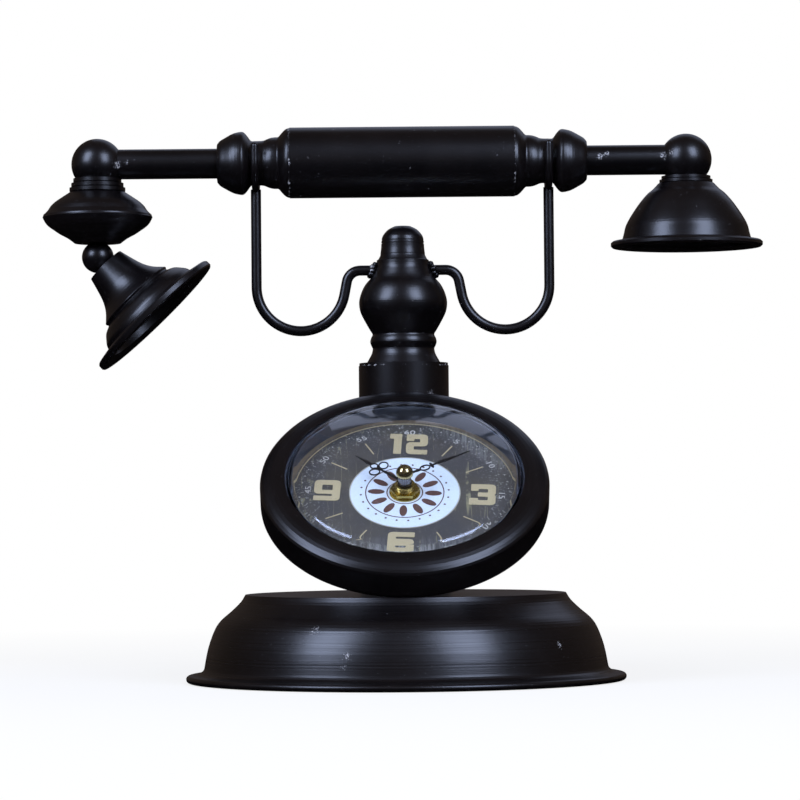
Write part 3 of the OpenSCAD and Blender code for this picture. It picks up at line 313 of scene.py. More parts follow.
def clearGlass(name):
    # blown clear glass: sharp reflections, and shadow rays pass so that the dial is lit
    g = glassLook
    material, tree = newMaterial(name)
    wave = addNode(tree, "TexNoise", objectSpace(tree), spacing(g["wave"]), 1.0, 0.5)
    bump = addNode(tree, "Bump", Strength=g["relief"], Distance=g["reliefDepth"] * mm, Height=wave)
    look = {"Base Color": (1, 1, 1, 1), "Roughness": g["roughness"], "IOR": g["ior"],
            "Transmission Weight": 1.0}
    glass = addNode(tree, "BsdfPrincipled", Normal=bump, **look)
    clear = addNode(tree, "BsdfTransparent")
    shadow = addNode(tree, "LightPath").outputs["Is Shadow Ray"]
    addNode(tree, "OutputMaterial", Surface=addNode(tree, "MixShader", shadow, glass, clear))
    return material


domedGlass = clearGlass("clear domed glass")


# the aged dial card

dialCard = {
    "charcoal": "#3a3938", "olive": "#464239", "crack": "#8a8463", "wear": "#83827c", "rust": "#71624c",
    "ior": 1.48, "roughness": 0.5, "relief": 0.3, "crackStretch": 0.06, "streakStretch": 0.07,
    # in mm
    "patch": 22, "crackSpacing": 6.5, "crackLength": 6, "streakWidth": 0.9, "speckSize": 0.9,
    "reliefDepth": 0.08,
    # from where to where in the noise each mark sets in
    "crackEdge": (0.002, 0.007), "crackBreaks": (0.46, 0.54), "streakEdge": (0.42, 0.6),
    "patchEdge": (0.35, 0.65), "speckEdge": (0.60, 0.66),
    # where wear starts and over how many mm it sets in: out from the middle, up the dial, across plus up
    "specks": (33, 6), "rim": (46.5, 1.2), "foot": (-28, -9), "upperHalf": (-10, 20), "corner": (52, 10),
    "crackShare": 0.7, "speckShare": 0.8, "strayShare": 0.08, "wornShare": 0.75, "rustShare": 0.8,
}


def dialSpace(tree):
    # Object coordinates turned into the dial's own plane: x across, y up the dial, z out of it
    return addNode(tree, "Mapping", vector_type="TEXTURE", Vector=objectSpace(tree),
                   Location=tuple(v * mm for v in place["dialCentre"]),
                   Rotation=(math.radians(place["dialTilt"]), 0, 0))


def cardCracks(tree, local):
    # a crack runs where a slow noise across the card passes its middle value, and breaks off along its length
    c = dialCard
    long = addNode(tree, "Mapping", Vector=local, Scale=(1, c["crackStretch"], c["crackStretch"]))
    slow = addNode(tree, "TexNoise", long, spacing(c["crackSpacing"]), 1.0, 0.5)
    past = addNode(tree, "Math", slow, 0.5, operation="SUBTRACT")
    level = addNode(tree, "Math", past, operation="ABSOLUTE")
    line = addNode(tree, "ValToRGB", level, stops=between(*c["crackEdge"], (1, 1, 1, 1), (0, 0, 0, 1)))
    gaps = addNode(tree, "TexNoise", local, spacing(c["crackLength"]), 4.0, 0.7)
    return together(tree, [line, addNode(tree, "ValToRGB", gaps, stops=between(*c["crackBreaks"]))])


def agedCard(name):
    # varnished printed card, dry and cracked down its length, rubbed pale towards one side and the foot
    c = dialCard
    material, tree = newMaterial(name)
    local = dialSpace(tree)
    split = addNode(tree, "SeparateXYZ", local)
    across, up = split.outputs["X"], split.outputs["Y"]
    squares = addNode(tree, "Math", across, across, together(tree, [up, up]), operation="MULTIPLY_ADD")
    radius = addNode(tree, "Math", squares, operation="SQRT")
    patch = addNode(tree, "TexNoise", local, spacing(c["patch"]), 3.0, 0.5)
    tints = between(*c["patchEdge"], linear(c["charcoal"]), linear(c["olive"]))
    colour = addNode(tree, "ValToRGB", patch, stops=tints)
    cracks = cardCracks(tree, local)
    speck = addNode(tree, "TexNoise", local, spacing(c["speckSize"]), 2.0, 0.5)
    speck = addNode(tree, "ValToRGB", speck, stops=between(*c["speckEdge"]))
    crowd = addNode(tree, "Math", fade(tree, radius, *c["specks"]), c["speckShare"], c["strayShare"],
                    operation="MULTIPLY_ADD")
    scale = (1 / c["streakWidth"], c["streakStretch"], c["streakStretch"])
    streaks = addNode(tree, "Mapping", Vector=local, Scale=scale)
    streak = addNode(tree, "TexNoise", streaks, spacing(1), 4.0, 0.6)
    streak = addNode(tree, "ValToRGB", streak, stops=between(*c["streakEdge"]))
    corner = fade(tree, addNode(tree, "Math", across, up, operation="ADD"), *c["corner"])
    rubbed = strongest(tree, [fade(tree, up, *c["foot"]), corner])
    rim, upper = fade(tree, radius, *c["rim"]), fade(tree, up, *c["upperHalf"])
    layers = [([cracks, c["crackShare"]], "crack"), ([speck, crowd], "wear"),
              ([rubbed, streak, c["wornShare"]], "wear"), ([rim, upper, c["rustShare"]], "rust")]
    for masks, tint in layers:
        colour = addNode(tree, "Mix", together(tree, masks), colour, linear(c[tint]), data_type="RGBA")
    look = {"IOR": c["ior"], "Roughness": c["roughness"], "Base Color": colour}
    reliefShader(tree, look, cracks, c["relief"], c["reliefDepth"], invert=True)
    return material


agedDial = agedCard("varnished dial card")

nodeFinish = {
    enamelOnBase: ["base_shell"],
    enamelOnPost: ["post_tube", "post_cap", "post_spindle", "post_finial"],
    enamelOnRods: ["cradle_rod_left", "cradle_rod_right", "yoke_left", "yoke_right"],
    enamelOnHandset: ["handle_tube", "handle_end_left", "handle_end_right", "arm_tube_left", "arm_tube_right",
                      "elbow_left", "elbow_right", "collar_left", "collar_right", "saucer_upper",
                      "saucer_lower", "mouthpiece_ball", "mouthpiece_horn", "earpiece_bell"],
    enamelOnCase: ["case_shell", "back_cover"],
    enamelAndHighlightOnBeads: ["weld_beads"],
    zincSteel: ["base_washer", "base_nut", "post_tie_rod", "handset_tie_rod", "saucer_stud", "earpiece_stud",
                "cover_screws", "minute_arbor"],
    circuitBoard: ["circuit_contacts"],
    turnedBrass: ["dial_washer", "dial_nut", "centre_bush", "train_plate"],
    polishedBrass: ["cap_nut"],
    domedGlass: ["lens"],
    greyRing: ["dial_ring"],
    agedDial: ["dial_plate"],
    creamPrint: ["dial_numerals"],
    whitePrint: ["centre_disc"],
    lacqueredHand: ["hour_hand", "minute_hand"],
    blackAbs: ["movement_housing", "movement_cover", "setting_knob"],
    whiteNylon: ["hour_wheel", "change_wheel", "centre_wheel", "third_wheel", "second_wheel", "idler_wheel"],
    ferriteMagnet: ["rotor"],
    enamelledCopper: ["stator_coil"],
    batterySleeve: ["battery"],
    nickelCollar: ["hand_collars"],
}
for material, names in nodeFinish.items():
    for name in names:
        mesh = nodes[name].data
        mesh.materials.clear()
        mesh.materials.append(material)
print("finishes on", sum(len(names) for names in nodeFinish.values()), "nodes")


# modelling helpers, sizes in mm

mergeReach = 0.001


def deselectAll():
    bpy.ops.object.select_all(action="DESELECT")


def selectOnly(piece):
    deselectAll()
    piece.select_set(True)
    bpy.context.view_layer.objects.active = piece


def applyPlace():
    bpy.ops.object.transform_apply(location=True, rotation=True, scale=True)


def drawLine(points):
    # a line drawn corner by corner from a small plane that is merged to one point
    corners = [Vector(p).to_3d() * mm for p in points]
    bpy.ops.mesh.primitive_plane_add(size=mm, location=corners[0])
    bpy.ops.mesh.merge(type="CENTER")
    for here, there in zip(corners, corners[1:]):
        bpy.ops.mesh.extrude_region_move(TRANSFORM_OT_translate={"value": there - here})


def blankPiece(name):
    # an empty mesh in edit mode, ready to draw in
    deselectAll()
    bpy.ops.mesh.primitive_plane_add(size=mm)
    piece = bpy.context.object
    piece.name = piece.data.name = name
    bpy.ops.object.mode_set(mode="EDIT")
    bpy.ops.mesh.delete(type="VERT")
    return piece


def cleanMesh():
    # joins the points that meet and turns every face outwards
    bpy.ops.mesh.select_all(action="SELECT")
    bpy.ops.mesh.remove_doubles(threshold=mergeReach * mm)
    bpy.ops.mesh.normals_make_consistent(inside=False)
    bpy.ops.object.mode_set(mode="OBJECT")


def finishPiece(piece, finish, body, smooth):
    # smooth is the angle in degrees up to which edges are shaded round, or 0
    if bpy.context.object and bpy.context.object.mode == "EDIT":
        cleanMesh()
    selectOnly(piece)
    applyPlace()
    if smooth:
        bpy.ops.object.shade_smooth_by_angle(angle=math.radians(smooth))
    piece.data.materials.clear()
    piece.data.materials.append(finish)
    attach(piece, body)


def spunPiece(name, outline, sides):
    # half an outline, spun once round the upright axis
    piece = blankPiece(name)
    drawLine([(r, 0, z) for r, z in outline])
    bpy.ops.mesh.select_all(action="SELECT")
    bpy.ops.mesh.spin(steps=sides, angle=2 * math.pi, center=(0, 0, 0), axis=(0, 0, 1))
    return piece


def circleSides(r):
    # rings of the dial, then the hubs of the hands, then dots
    return 96 if r > 5 else 28 if r > 1 else 10


def flatPiece(name, loops, thickness):
    # closed outlines filled, holes left open, and drawn up; a loop of three numbers is a circle x, y, r
    piece = blankPiece(name)
    for loop in loops:
        if isinstance(loop[0], (int, float)):
            x, y, r = loop
            bpy.ops.mesh.primitive_circle_add(vertices=circleSides(r), radius=r * mm,
                                              location=(x * mm, y * mm, 0))
        else:
            drawLine([*loop, loop[0]])
    bpy.ops.mesh.select_all(action="SELECT")
    bpy.ops.mesh.remove_doubles(threshold=mergeReach * mm)
    bpy.ops.mesh.fill(use_beauty=True)
    bpy.ops.mesh.select_all(action="SELECT")
    bpy.ops.mesh.extrude_region_move(TRANSFORM_OT_translate={"value": (0, 0, thickness * mm)})
    bpy.ops.mesh.select_all(action="SELECT")
    bpy.ops.mesh.normals_make_consistent(inside=False)
    bpy.ops.object.mode_set(mode="OBJECT")
    return piece


def joined(pieces, name):
    # the pieces as one object, the first one's
    deselectAll()
    for piece in pieces:
        piece.select_set(True)
    bpy.context.view_layer.objects.active = pieces[0]
    bpy.ops.object.join()
    pieces[0].name = pieces[0].data.name = name
    return pieces[0]


def applyModifier(piece, kind, **settings):
    selectOnly(piece)
    modifier = piece.modifiers.new(kind.lower(), kind)
    for key, value in settings.items():
        setattr(modifier, key, value)
    bpy.ops.object.modifier_apply(modifier=modifier.name)


def curvePoint(start, bend, end, t):
    # the point at t on a smooth curve that is drawn towards its bend
    return (1 - t) ** 2 * start + 2 * t * (1 - t) * bend + t * t * end


def softCorners(points, radius, small=None, longEdge=0.0, steps=4):
    # corners of a closed outline rounded off, never past the middle of an edge
    # a corner with an edge no longer than longEdge takes the small radius, if there is one
    most = 0.49      # share of an edge that one corner may take
    out = []
    for i, corner in enumerate(points):
        corner = Vector(corner)
        before, after = Vector(points[i - 1]) - corner, Vector(points[(i + 1) % len(points)]) - corner
        r = radius if small is None or min(before.length, after.length) > longEdge else small
        a = corner + before.normalized() * min(r, before.length * most)
        b = corner + after.normalized() * min(r, after.length * most)
        out += [curvePoint(a, corner, b, k / steps) for k in range(steps + 1)]
    return out


def onDial(piece, height, clockAngle=0.0):
    # from the drawing board to the dial: height over the lip, turned clockwise
    centre = Matrix.Translation(Vector(place["dialCentre"]) * mm)
    tilt = Matrix.Rotation(math.radians(place["dialTilt"]), 4, "X")
    turn = Matrix.Rotation(math.radians(-clockAngle), 4, "Z")
    piece.matrix_world = centre @ tilt @ turn @ Matrix.Translation((0, 0, height * mm)) @ piece.matrix_world
    return piece


# domed glass

glassDome = {
    "rise": 10.3, "thickness": 1.4, "domeRadius": 46.7, "domeEdge": 1.9,
    "corner": (48.5, 1.2), "foot": (49.2, -0.7), "footRadius": 49.6,
    "flangeRadius": 54.2, "flangeTop": -1.47, "flangeHeight": 1.0,
    "rollOffset": (-1.25, -0.7), "boreRadius": 48.1,      # the inside of the roll and of the flange
    "steps": 36, "rollSteps": 10, "rollSkip": 3, "sides": 128,
}


def makeGlassDome():
    # pressed crystal: a shallow dome, a tight roll at its edge, a steep side and a flat flange
    g = glassDome
    sag = g["rise"] - g["domeEdge"]
    ball = (g["domeRadius"] ** 2 + sag ** 2) / (2 * sag)
    half = math.asin(g["domeRadius"] / ball)
    angles = [half * i / g["steps"] for i in range(g["steps"] + 1)]
    dome = [Vector((ball * math.sin(a), g["rise"] - ball + ball * math.cos(a))) for a in angles]
    roll = [curvePoint(dome[-1], Vector(g["corner"]), Vector(g["foot"]), k / g["rollSteps"])
            for k in range(1, g["rollSteps"] + 1)]
    outer = dome + roll + [Vector((g["footRadius"], g["flangeTop"]))]
    low = g["flangeTop"] - g["flangeHeight"]
    inward = g["thickness"] / ball
    inside = [p * (1 - inward) + Vector((0, (g["rise"] - ball) * inward)) for p in dome]
    inside += [p + Vector(g["rollOffset"]) for p in roll[g["rollSkip"]:]] + [Vector((g["boreRadius"], low))]
    rim = [Vector((g["flangeRadius"], g["flangeTop"])), Vector((g["flangeRadius"], low))]
    piece = spunPiece("domed_glass", outer + rim + inside[::-1], g["sides"])
    cleanMesh()
    finishPiece(onDial(piece, 0), domedGlass, "root", 30)
    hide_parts("lens")


makeGlassDome()
print("glass done")


# printing on the card

numerals = {
    "height": 13.4, "bar": 3.0, "stem": 3.3, "middle": 4.3, "middleBar": 2.6, "lift": 1.1,
    "width": 11.0, "narrow": 9.1, "oneWidth": 5.1, "oneFlag": 0.2,
    "hook": 1.3, "longHook": 1.5, "waist": 0.7, "threeInset": 0.6, "threeStem": 0.4, "threeBar": 0.32,
    "radius": 32.5, "oneX": -5.6, "twoX": 3.5, "corner": 2.3, "nick": 0.45, "ink": 0.15,
}
minuteTrack = {
    "numberRadius": 40.4, "numberSize": 3.7, "numberWiden": 1.35, "numberInk": 0.04, "numberLift": 0.05,
    "dotRadius": 43.4, "dot": 0.28, "dotInk": 0.09,
    "tickFrom": 28.9, "tickTo": 36.9, "tickWidth": 0.55, "tickInk": 0.1,
    "borderRadius": 46.5, "borderWidth": 0.45,
}
hoursWithTicks = [1, 2, 4, 5, 7, 8, 10, 11]


def digitOne():
    n = numerals
    w, h, v = n["oneWidth"], n["height"], n["stem"]
    flag = h - n["bar"] - n["oneFlag"]
    return w, [[(w - v, 0), (w, 0), (w, h), (0, h), (0, flag), (w - v, flag)]]


def digitTwo():
    n = numerals
    w, h, s, v = n["narrow"], n["height"], n["bar"], n["stem"]
    low = n["middle"] + n["lift"]
    high = low + n["middleBar"]
    hook = h - s - n["longHook"]
    return w, [[(0, 0), (w, 0), (w, s), (v, s), (v, low), (w, low), (w, h), (0, h), (0, hook), (v, hook),
                (v, h - s), (w - v, h - s), (w - v, high), (0, high)]]


def digitThree():
    n = numerals
    w, h, s, v = n["width"], n["height"], n["bar"], n["stem"]
    low = n["middle"] + n["lift"]
    high = low + n["middleBar"]
    waist, middle = n["waist"], (low + high) / 2
    inset, stem, bar = n["threeInset"], v + n["threeStem"], w * n["threeBar"]
    hook = h - s - n["hook"]
    return w, [[(0, 0), (w, 0), (w, middle - waist), (w - waist, middle), (w, middle + waist), (w, h),
                (inset, h), (inset, hook), (stem, hook), (stem, h - s), (w - v, h - s), (w - v, high),
                (bar, high), (bar, low), (w - v, low), (w - v, s), (stem, s), (stem, s + n["hook"]),
                (0, s + n["hook"])]]


def digitNine():
    n = numerals
    w, h, s, v, m = n["width"], n["height"], n["bar"], n["stem"], n["middle"]
    bowl = m + n["middleBar"]
    return w, [[(0, 0), (w, 0), (w, h), (0, h), (0, m), (w - v, m), (w - v, s), (0, s)],
               [(v, bowl), (w - v, bowl), (w - v, h - s), (v, h - s)]]


def digitSix():
    # a nine turned half round
    w, loops = digitNine()
    return w, [[(w - x, numerals["height"] - y) for x, y in loop] for loop in loops]


def makeNumerals():
    n = numerals
    r = n["radius"]
    digits = [(digitOne, n["oneX"], r), (digitTwo, n["twoX"], r), (digitThree, r, 0), (digitSix, 0, -r),
              (digitNine, -r, 0)]
    pieces = []
    for digit, x, y in digits:
        w, loops = digit()
        loops = [[(px + x - w / 2, py + y - n["height"] / 2) for px, py in loop] for loop in loops]
        outer = n["nick"] if digit is digitOne else n["corner"]
        loops = [softCorners(loop, n["nick"] if k else outer, n["nick"], 5) for k, loop in enumerate(loops)]
        pieces.append(flatPiece("digit", loops, n["ink"]))
    piece = onDial(joined(pieces, "hour_numerals"), -place["cardDepth"], place["cardTurn"])
    finishPiece(piece, creamPrint, "root", 0)
    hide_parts("dial_numerals")


def makeTicks():
    t = minuteTrack
    loops = []
    for hour in hoursWithTicks:
        a = math.radians(30 * hour)
        out = Vector((math.sin(a), math.cos(a)))
        side = Vector((math.cos(a), -math.sin(a))) * t["tickWidth"] / 2
        start, end = out * t["tickFrom"], out * t["tickTo"]
        loops.append([start - side, start + side, end + side, end - side])
    loops += [(0, 0, t["borderRadius"]), (0, 0, t["borderRadius"] - t["borderWidth"])]
    piece = onDial(flatPiece("hour_ticks", loops, t["tickInk"]), -place["cardDepth"], place["cardTurn"])
    finishPiece(piece, creamPrint, "root", 0)


def minuteNumber(hour):
    # the minutes at one hour, as a mesh, laid out round the track
    t = minuteTrack
    deselectAll()
    bpy.ops.object.text_add(location=(0, 0, 0))
    word = bpy.context.object
    word.data.body = str(5 * hour)
    word.data.size = t["numberSize"] * mm
    word.data.extrude = t["numberInk"] * mm
    word.data.align_x = "CENTER"
    word.data.align_y = "CENTER"
    bpy.ops.object.convert(target="MESH")
    turn = Matrix.Rotation(math.radians(-30 * hour), 4, "Z")
    out = Matrix.Translation((0, t["numberRadius"] * mm, t["numberLift"] * mm))
    word.matrix_world = turn @ out @ Matrix.Diagonal((t["numberWiden"], 1, 1, 1))
    return word


def makeMinuteTrack():
    t = minuteTrack
    pieces = [minuteNumber(hour) for hour in range(1, 13)]
    angles = [math.radians(6 * minute) for minute in range(60) if minute % 5]
    dots = [(t["dotRadius"] * math.sin(a), t["dotRadius"] * math.cos(a), t["dot"]) for a in angles]
    pieces.append(flatPiece("dots", dots, t["dotInk"]))
    piece = onDial(joined(pieces, "minute_track"), -place["cardDepth"], place["cardTurn"])
    finishPiece(piece, palePrint, "root", 0)


ornament = {
    "petals": 12, "petalFrom": 8.4, "petalTo": 15.6, "petalWidth": 3.3, "petalSteps": 6,
    "ringRadii": [7.7, 16.6], "ringWidth": 0.5, "beads": 24, "beadRadius": 0.5, "beadCircle": 18.4,
    "borderRadius": 23.3, "borderWidth": 0.5, "ink": 0.06,
}


def makeOrnament():
    # a traditional rosette round the hands: a ring of leaves, two lines and a string of beads
    o = ornament
    middle, tall = (o["petalTo"] + o["petalFrom"]) / 2, (o["petalTo"] - o["petalFrom"]) / 2
    angles = [math.pi * i / o["petalSteps"] for i in range(o["petalSteps"] + 1)]
    half = [(o["petalWidth"] / 2 * math.sin(a), middle - tall * math.cos(a)) for a in angles]
    leaf = [Vector(p) for p in half + [(-x, y) for x, y in half[-2:0:-1]]]
    loops = [[Matrix.Rotation(2 * math.pi * k / o["petals"], 2) @ p for p in leaf]
             for k in range(o["petals"])]
    for r in o["ringRadii"]:
        loops += [(0, 0, r), (0, 0, r - o["ringWidth"])]
    for k in range(o["beads"]):
        a = 2 * math.pi * (k + 0.5) / o["beads"]
        loops.append((o["beadCircle"] * math.sin(a), o["beadCircle"] * math.cos(a), o["beadRadius"]))
    discTop = numerals["ink"] - place["cardDepth"]
    piece = onDial(flatPiece("disc_rosette", loops, o["ink"]), discTop, place["cardTurn"])
    finishPiece(piece, brownPrint, "root", 0)
    edge = [(0, 0, o["borderRadius"]), (0, 0, o["borderRadius"] - o["borderWidth"])]
    border = onDial(flatPiece("disc_border", edge, numerals["ink"] + o["ink"]), -place["cardDepth"])
    finishPiece(border, goldPrint, "root", 0)


makeNumerals()
makeTicks()
makeMinuteTrack()
makeOrnament()
print("card printed")


# stamped hands

hands = {
    "thickness": 0.4, "edge": 0.1, "wire": 0.62, "hair": 0.01,
    "hourLength": 27.5, "hourAngle": 311, "hourHeight": -4.95, "hourHub": 3.0, "hourHole": 1.95,
    "minuteLength": 31.5, "minuteAngle": 60, "minuteHeight": -1.15, "minuteHub": 2.6, "minuteHole": 1.25,
}


def ovalLoop(x, y, wide, tall, turn, steps=24):
    turned = Matrix.Rotation(math.radians(turn), 2)
    angles = [2 * math.pi * k / steps for k in range(steps)]
    return [Vector((x, y)) + turned @ Vector((wide * math.cos(a), tall * math.sin(a))) for a in angles]


def wireRing(x, y, wide, tall, turn, thickness):
    w = hands["wire"]
    loops = [ovalLoop(x, y, wide, tall, turn), ovalLoop(x, y, wide - w, tall - w, turn)]
    return flatPiece("ring", loops, thickness)


def mirroredPiece(name, half, thickness):
    # an outline given by its right half, from the foot up
    return flatPiece(name, [half + [(-x, y) for x, y in reversed(half)]], thickness)


def stampedHand(pieces, name, node, body, height, angle):
    # the parts of a hand differ in thickness by a hair or more, so that no two tops share a plane
    piece = joined(pieces, name)
    applyModifier(piece, "BEVEL", width=hands["edge"] * mm, segments=2, limit_method="ANGLE")
    finishPiece(onDial(piece, height, angle), lacqueredHand, body, 30)
    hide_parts(node)


def makeHourHand():
    # widths in mm, heights as shares of the hand's length
    h = hands
    t, n, hair = h["thickness"], h["hourLength"], h["hair"]
    stem = [(0.8, 2.4), (0.45, 0.33 * n), (0.7, 0.38 * n), (0.45, 0.43 * n), (0.4, 0.555 * n)]
    spear = [(0.45, 0.672 * n), (0.95, 0.745 * n), (0.42, 0.83 * n), (0.07, n)]
    pieces = [
        flatPiece("hub", [(0, 0, h["hourHub"]), (0, 0, h["hourHole"])], t),
        mirroredPiece("stem", stem, t - 2 * hair),
        wireRing(-2.85, 0.515 * n, 2.5, 2.2, -25, t - 4 * hair),
        wireRing(2.85, 0.515 * n, 2.5, 2.2, 25, t - 6 * hair),
        wireRing(0, 0.612 * n, 1.9, 2.0, 0, t - 5 * hair),
        flatPiece("curl", [(-1.1, 0.565 * n, 0.7), (1.1, 0.565 * n, 0.7)], t - 3 * hair),
        mirroredPiece("spear", spear, t - hair),
    ]
    stampedHand(pieces, "hour_hand_filigree", "hour_hand", "hour_work", h["hourHeight"], h["hourAngle"])


def makeMinuteHand():
    # widths in mm, heights as shares of the hand's length
    h = hands
    t, n, hair = h["thickness"], h["minuteLength"], h["hair"]
    stem = [(0.75, 2.0), (0.5, 0.17 * n), (0.75, 0.2 * n), (0.5, 0.245 * n)]
    knot = [(-1.7, 0.405 * n), (-0.4, 0.392 * n), (0.4, 0.392 * n), (1.7, 0.405 * n), (1.7, 0.425 * n),
            (0.4, 0.44 * n), (-0.4, 0.44 * n), (-1.7, 0.425 * n)]
    blade = [(0.4, 0.435 * n), (0.45, 0.5 * n), (0.95, 0.6 * n), (0.6, 0.7 * n), (0.3, 0.82 * n), (0.07, n)]
    pieces = [
        flatPiece("hub", [(0, 0, h["minuteHub"]), (0, 0, h["minuteHole"])], t),
        mirroredPiece("stem", stem, t - 2 * hair),
        wireRing(0, 0.312 * n, 1.75, 2.5, 0, t - 4 * hair),
        flatPiece("knot", [softCorners(knot, 0.4)], t - 3 * hair),
        mirroredPiece("blade", blade, t - hair),
    ]
    stampedHand(pieces, "minute_hand_filigree", "minute_hand", "minute_work", h["minuteHeight"],
                h["minuteAngle"])


makeHourHand()
makeMinuteHand()


# thread of the centre bush

bushThread = {
    "radius": 4.02, "depth": 0.22, "wall": 0.3, "pitch": 0.5, "from": -7.65, "turns": 4, "sides": 64,
}


def makeBushThread():
    b = bushThread
    top = b["from"] + b["turns"] * b["pitch"]
    outline = []
    for k in range(b["turns"]):
        z = b["from"] + k * b["pitch"]
        outline += [(b["radius"], z), (b["radius"] + b["depth"], z + b["pitch"] / 2)]
    bore = b["radius"] - b["wall"]
    outline += [(b["radius"], top), (bore, top), (bore, b["from"]), outline[0]]
    piece = spunPiece("bush_thread", outline, b["sides"])
    cleanMesh()
    finishPiece(onDial(piece, 0), turnedBrass, "root", 20)


makeBushThread()
print("hands and thread done")


# bent cradle rods

cradle = {
    "radius": 2.25, "start": 11.3, "weldHeight": 178.0, "tightBend": 6.0, "wideBend": 19.5, "wideDrop": 7.0,
    "wideBendX": 45.0, "slant": 11.0, "footHeight": 209.1, "sides": 32, "tightSteps": 12, "wideSteps": 36,
}


def drawTube(steps):
    # draws an open ring on in straight lengths, and round bends about the y axis
    for kind, where, angle, count in steps:
        if kind == "straight":
            bpy.ops.mesh.extrude_region_move(TRANSFORM_OT_translate={"value": Vector(where) * mm})
        else:
            bpy.ops.mesh.spin(steps=count, angle=math.radians(angle), center=Vector(where) * mm,
                              axis=(0, 1, 0))


def makeCradleRod(side, name, node):
    # round bar: out of the spindle, over the tight bend, down the slanting leg, round the wide bend and up
    c = cradle
    slant = math.radians(c["slant"])
    wideZ = c["weldHeight"] - c["wideDrop"]
    legEndX = c["wideBendX"] - c["wideBend"] * math.cos(slant)
    legEndZ = wideZ - c["wideBend"] * math.sin(slant)
    bendDrop = c["tightBend"] * (1 - math.sin(slant))
    legLength = (c["weldHeight"] - bendDrop - legEndZ) / math.cos(slant)
    bendX = legEndX - legLength * math.sin(slant) - c["tightBend"] * math.cos(slant)
    piece = blankPiece(name)
    bpy.ops.mesh.primitive_circle_add(vertices=c["sides"], radius=c["radius"] * mm,
                                      location=(c["start"] * mm, 0, c["weldHeight"] * mm),
                                      rotation=(0, math.radians(90), 0))
    drawTube([
        ("straight", (bendX - c["start"], 0, 0), 0, 0),
        ("bend", (bendX, 0, c["weldHeight"] - c["tightBend"]), c["slant"] - 90, c["tightSteps"]),
        ("straight", (legLength * math.sin(slant), 0, -legLength * math.cos(slant)), 0, 0),
        ("bend", (c["wideBendX"], 0, wideZ), 180 - c["slant"], c["wideSteps"]),
        ("straight", (0, 0, c["footHeight"] - wideZ), 0, 0),
    ])
    bpy.ops.mesh.edge_face_add()      # closes the top end
    bpy.ops.object.mode_set(mode="OBJECT")
    piece.matrix_world = Matrix.Translation((0, place["postY"] * mm, 0)) @ Matrix.Diagonal((side, 1, 1, 1))
    applyPlace()
    bpy.ops.object.mode_set(mode="EDIT")
    bpy.ops.mesh.select_all(action="DESELECT")
    bpy.ops.mesh.select_non_manifold(extend=False, use_wire=False, use_multi_face=False,
                                     use_non_contiguous=False, use_verts=False)
    bpy.ops.mesh.fill()               # closes the end in the spindle
    finishPiece(piece, enamelOnRods, "root", 40)
    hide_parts(node)


makeCradleRod(-1, "bent_rod_left", "cradle_rod_left")
makeCradleRod(1, "bent_rod_right", "cradle_rod_right")


# rolled seam of the saucer

saucerSeam = {
    "x": -134.4, "z": 202.5, "sides": 128,
    "outline": [(22.2, 0.4), (22.7, 1.5), (23.3, 1.55), (23.75, 1.15), (23.95, 0.55), (23.9, 0.05),
                (23.2, -0.1), (22.3, -0.1)],      # radius and height
}


def makeSaucerSeam():
    # the edge where the upper half of the saucer is folded down over the lower one
    s = saucerSeam
    piece = spunPiece("saucer_seam", s["outline"] + s["outline"][:1], s["sides"])
    cleanMesh()
    piece.matrix_world = Matrix.Translation((s["x"] * mm, place["postY"] * mm, s["z"] * mm))
    finishPiece(piece, enamelOnHandset, "handset", 30)


makeSaucerSeam()


# weld beads

weld = {
    "rodX": 13.4, "slope": 0.42, "ring": 2.5, "blob": 1.3, "blobs": 9, "uneven": 0.2, "wander": 0.3,
    "spots": [(0, -60.6, 37.4, 2.5), (2.9, -60.3, 37.2, 1.7), (-2.6, -60.2, 37.2, 1.5)], "spotHeight": 0.72,
    "lump": 0.35, "lumpSize": 1.2,
}


def weldCentres():
    # x, y, z, radius and how flat: spots under the case, and a leaning ring round each rod
    w = weld
    centres = [(x, y, z, r, w["spotHeight"]) for x, y, z, r in w["spots"]]
    for side in (-1, 1):
        for k in range(w["blobs"]):
            a = 2 * math.pi * (k + w["wander"] * side) / w["blobs"]
            up = w["ring"] * math.sin(a)
            x = side * (w["rodX"] - w["slope"] * up + w["wander"] * math.sin(3 * a))
            y = place["postY"] + w["ring"] * math.cos(a)
            r = w["blob"] * (1 + w["uneven"] * math.sin(5 * a))
            centres.append((x, y, cradle["weldHeight"] + up, r, 1))
    return centres


def makeWelds():
    # frozen puddles: balls, some of them pressed flat, and all of them roughened
    w = weld
    pieces = []
    for x, y, z, r, flat in weldCentres():
        deselectAll()
        bpy.ops.mesh.primitive_ico_sphere_add(subdivisions=3, radius=r * mm,
                                              location=(x * mm, y * mm, z * mm))
        bpy.context.object.scale.z = flat
        pieces.append(bpy.context.object)
    piece = joined(pieces, "weld_puddles")
    applyPlace()
    lumps = bpy.data.textures.new("weld lumps", "CLOUDS")
    lumps.noise_scale = w["lumpSize"] * mm
    applyModifier(piece, "DISPLACE", texture=lumps, strength=w["lump"] * mm, mid_level=0.5,
                  texture_coords="GLOBAL")
    finishPiece(piece, enamelAndHighlightOnBeads, "root", 40)
    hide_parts("weld_beads")


makeWelds()
print("rods and welds done")


# floor, sky, lamps and camera, in m

studio = {
    "floorSize": 14, "floorDrop": 0.0002, "floorColour": "#f4f3f1", "floorGloss": "#15110f",
    "glowNear": 0.8, "glowFar": 0.2, "glowFade": (160, 500),   # where it starts and over how many mm
    "skyFill": 0.3, "skyGloss": "#4c423b",
}


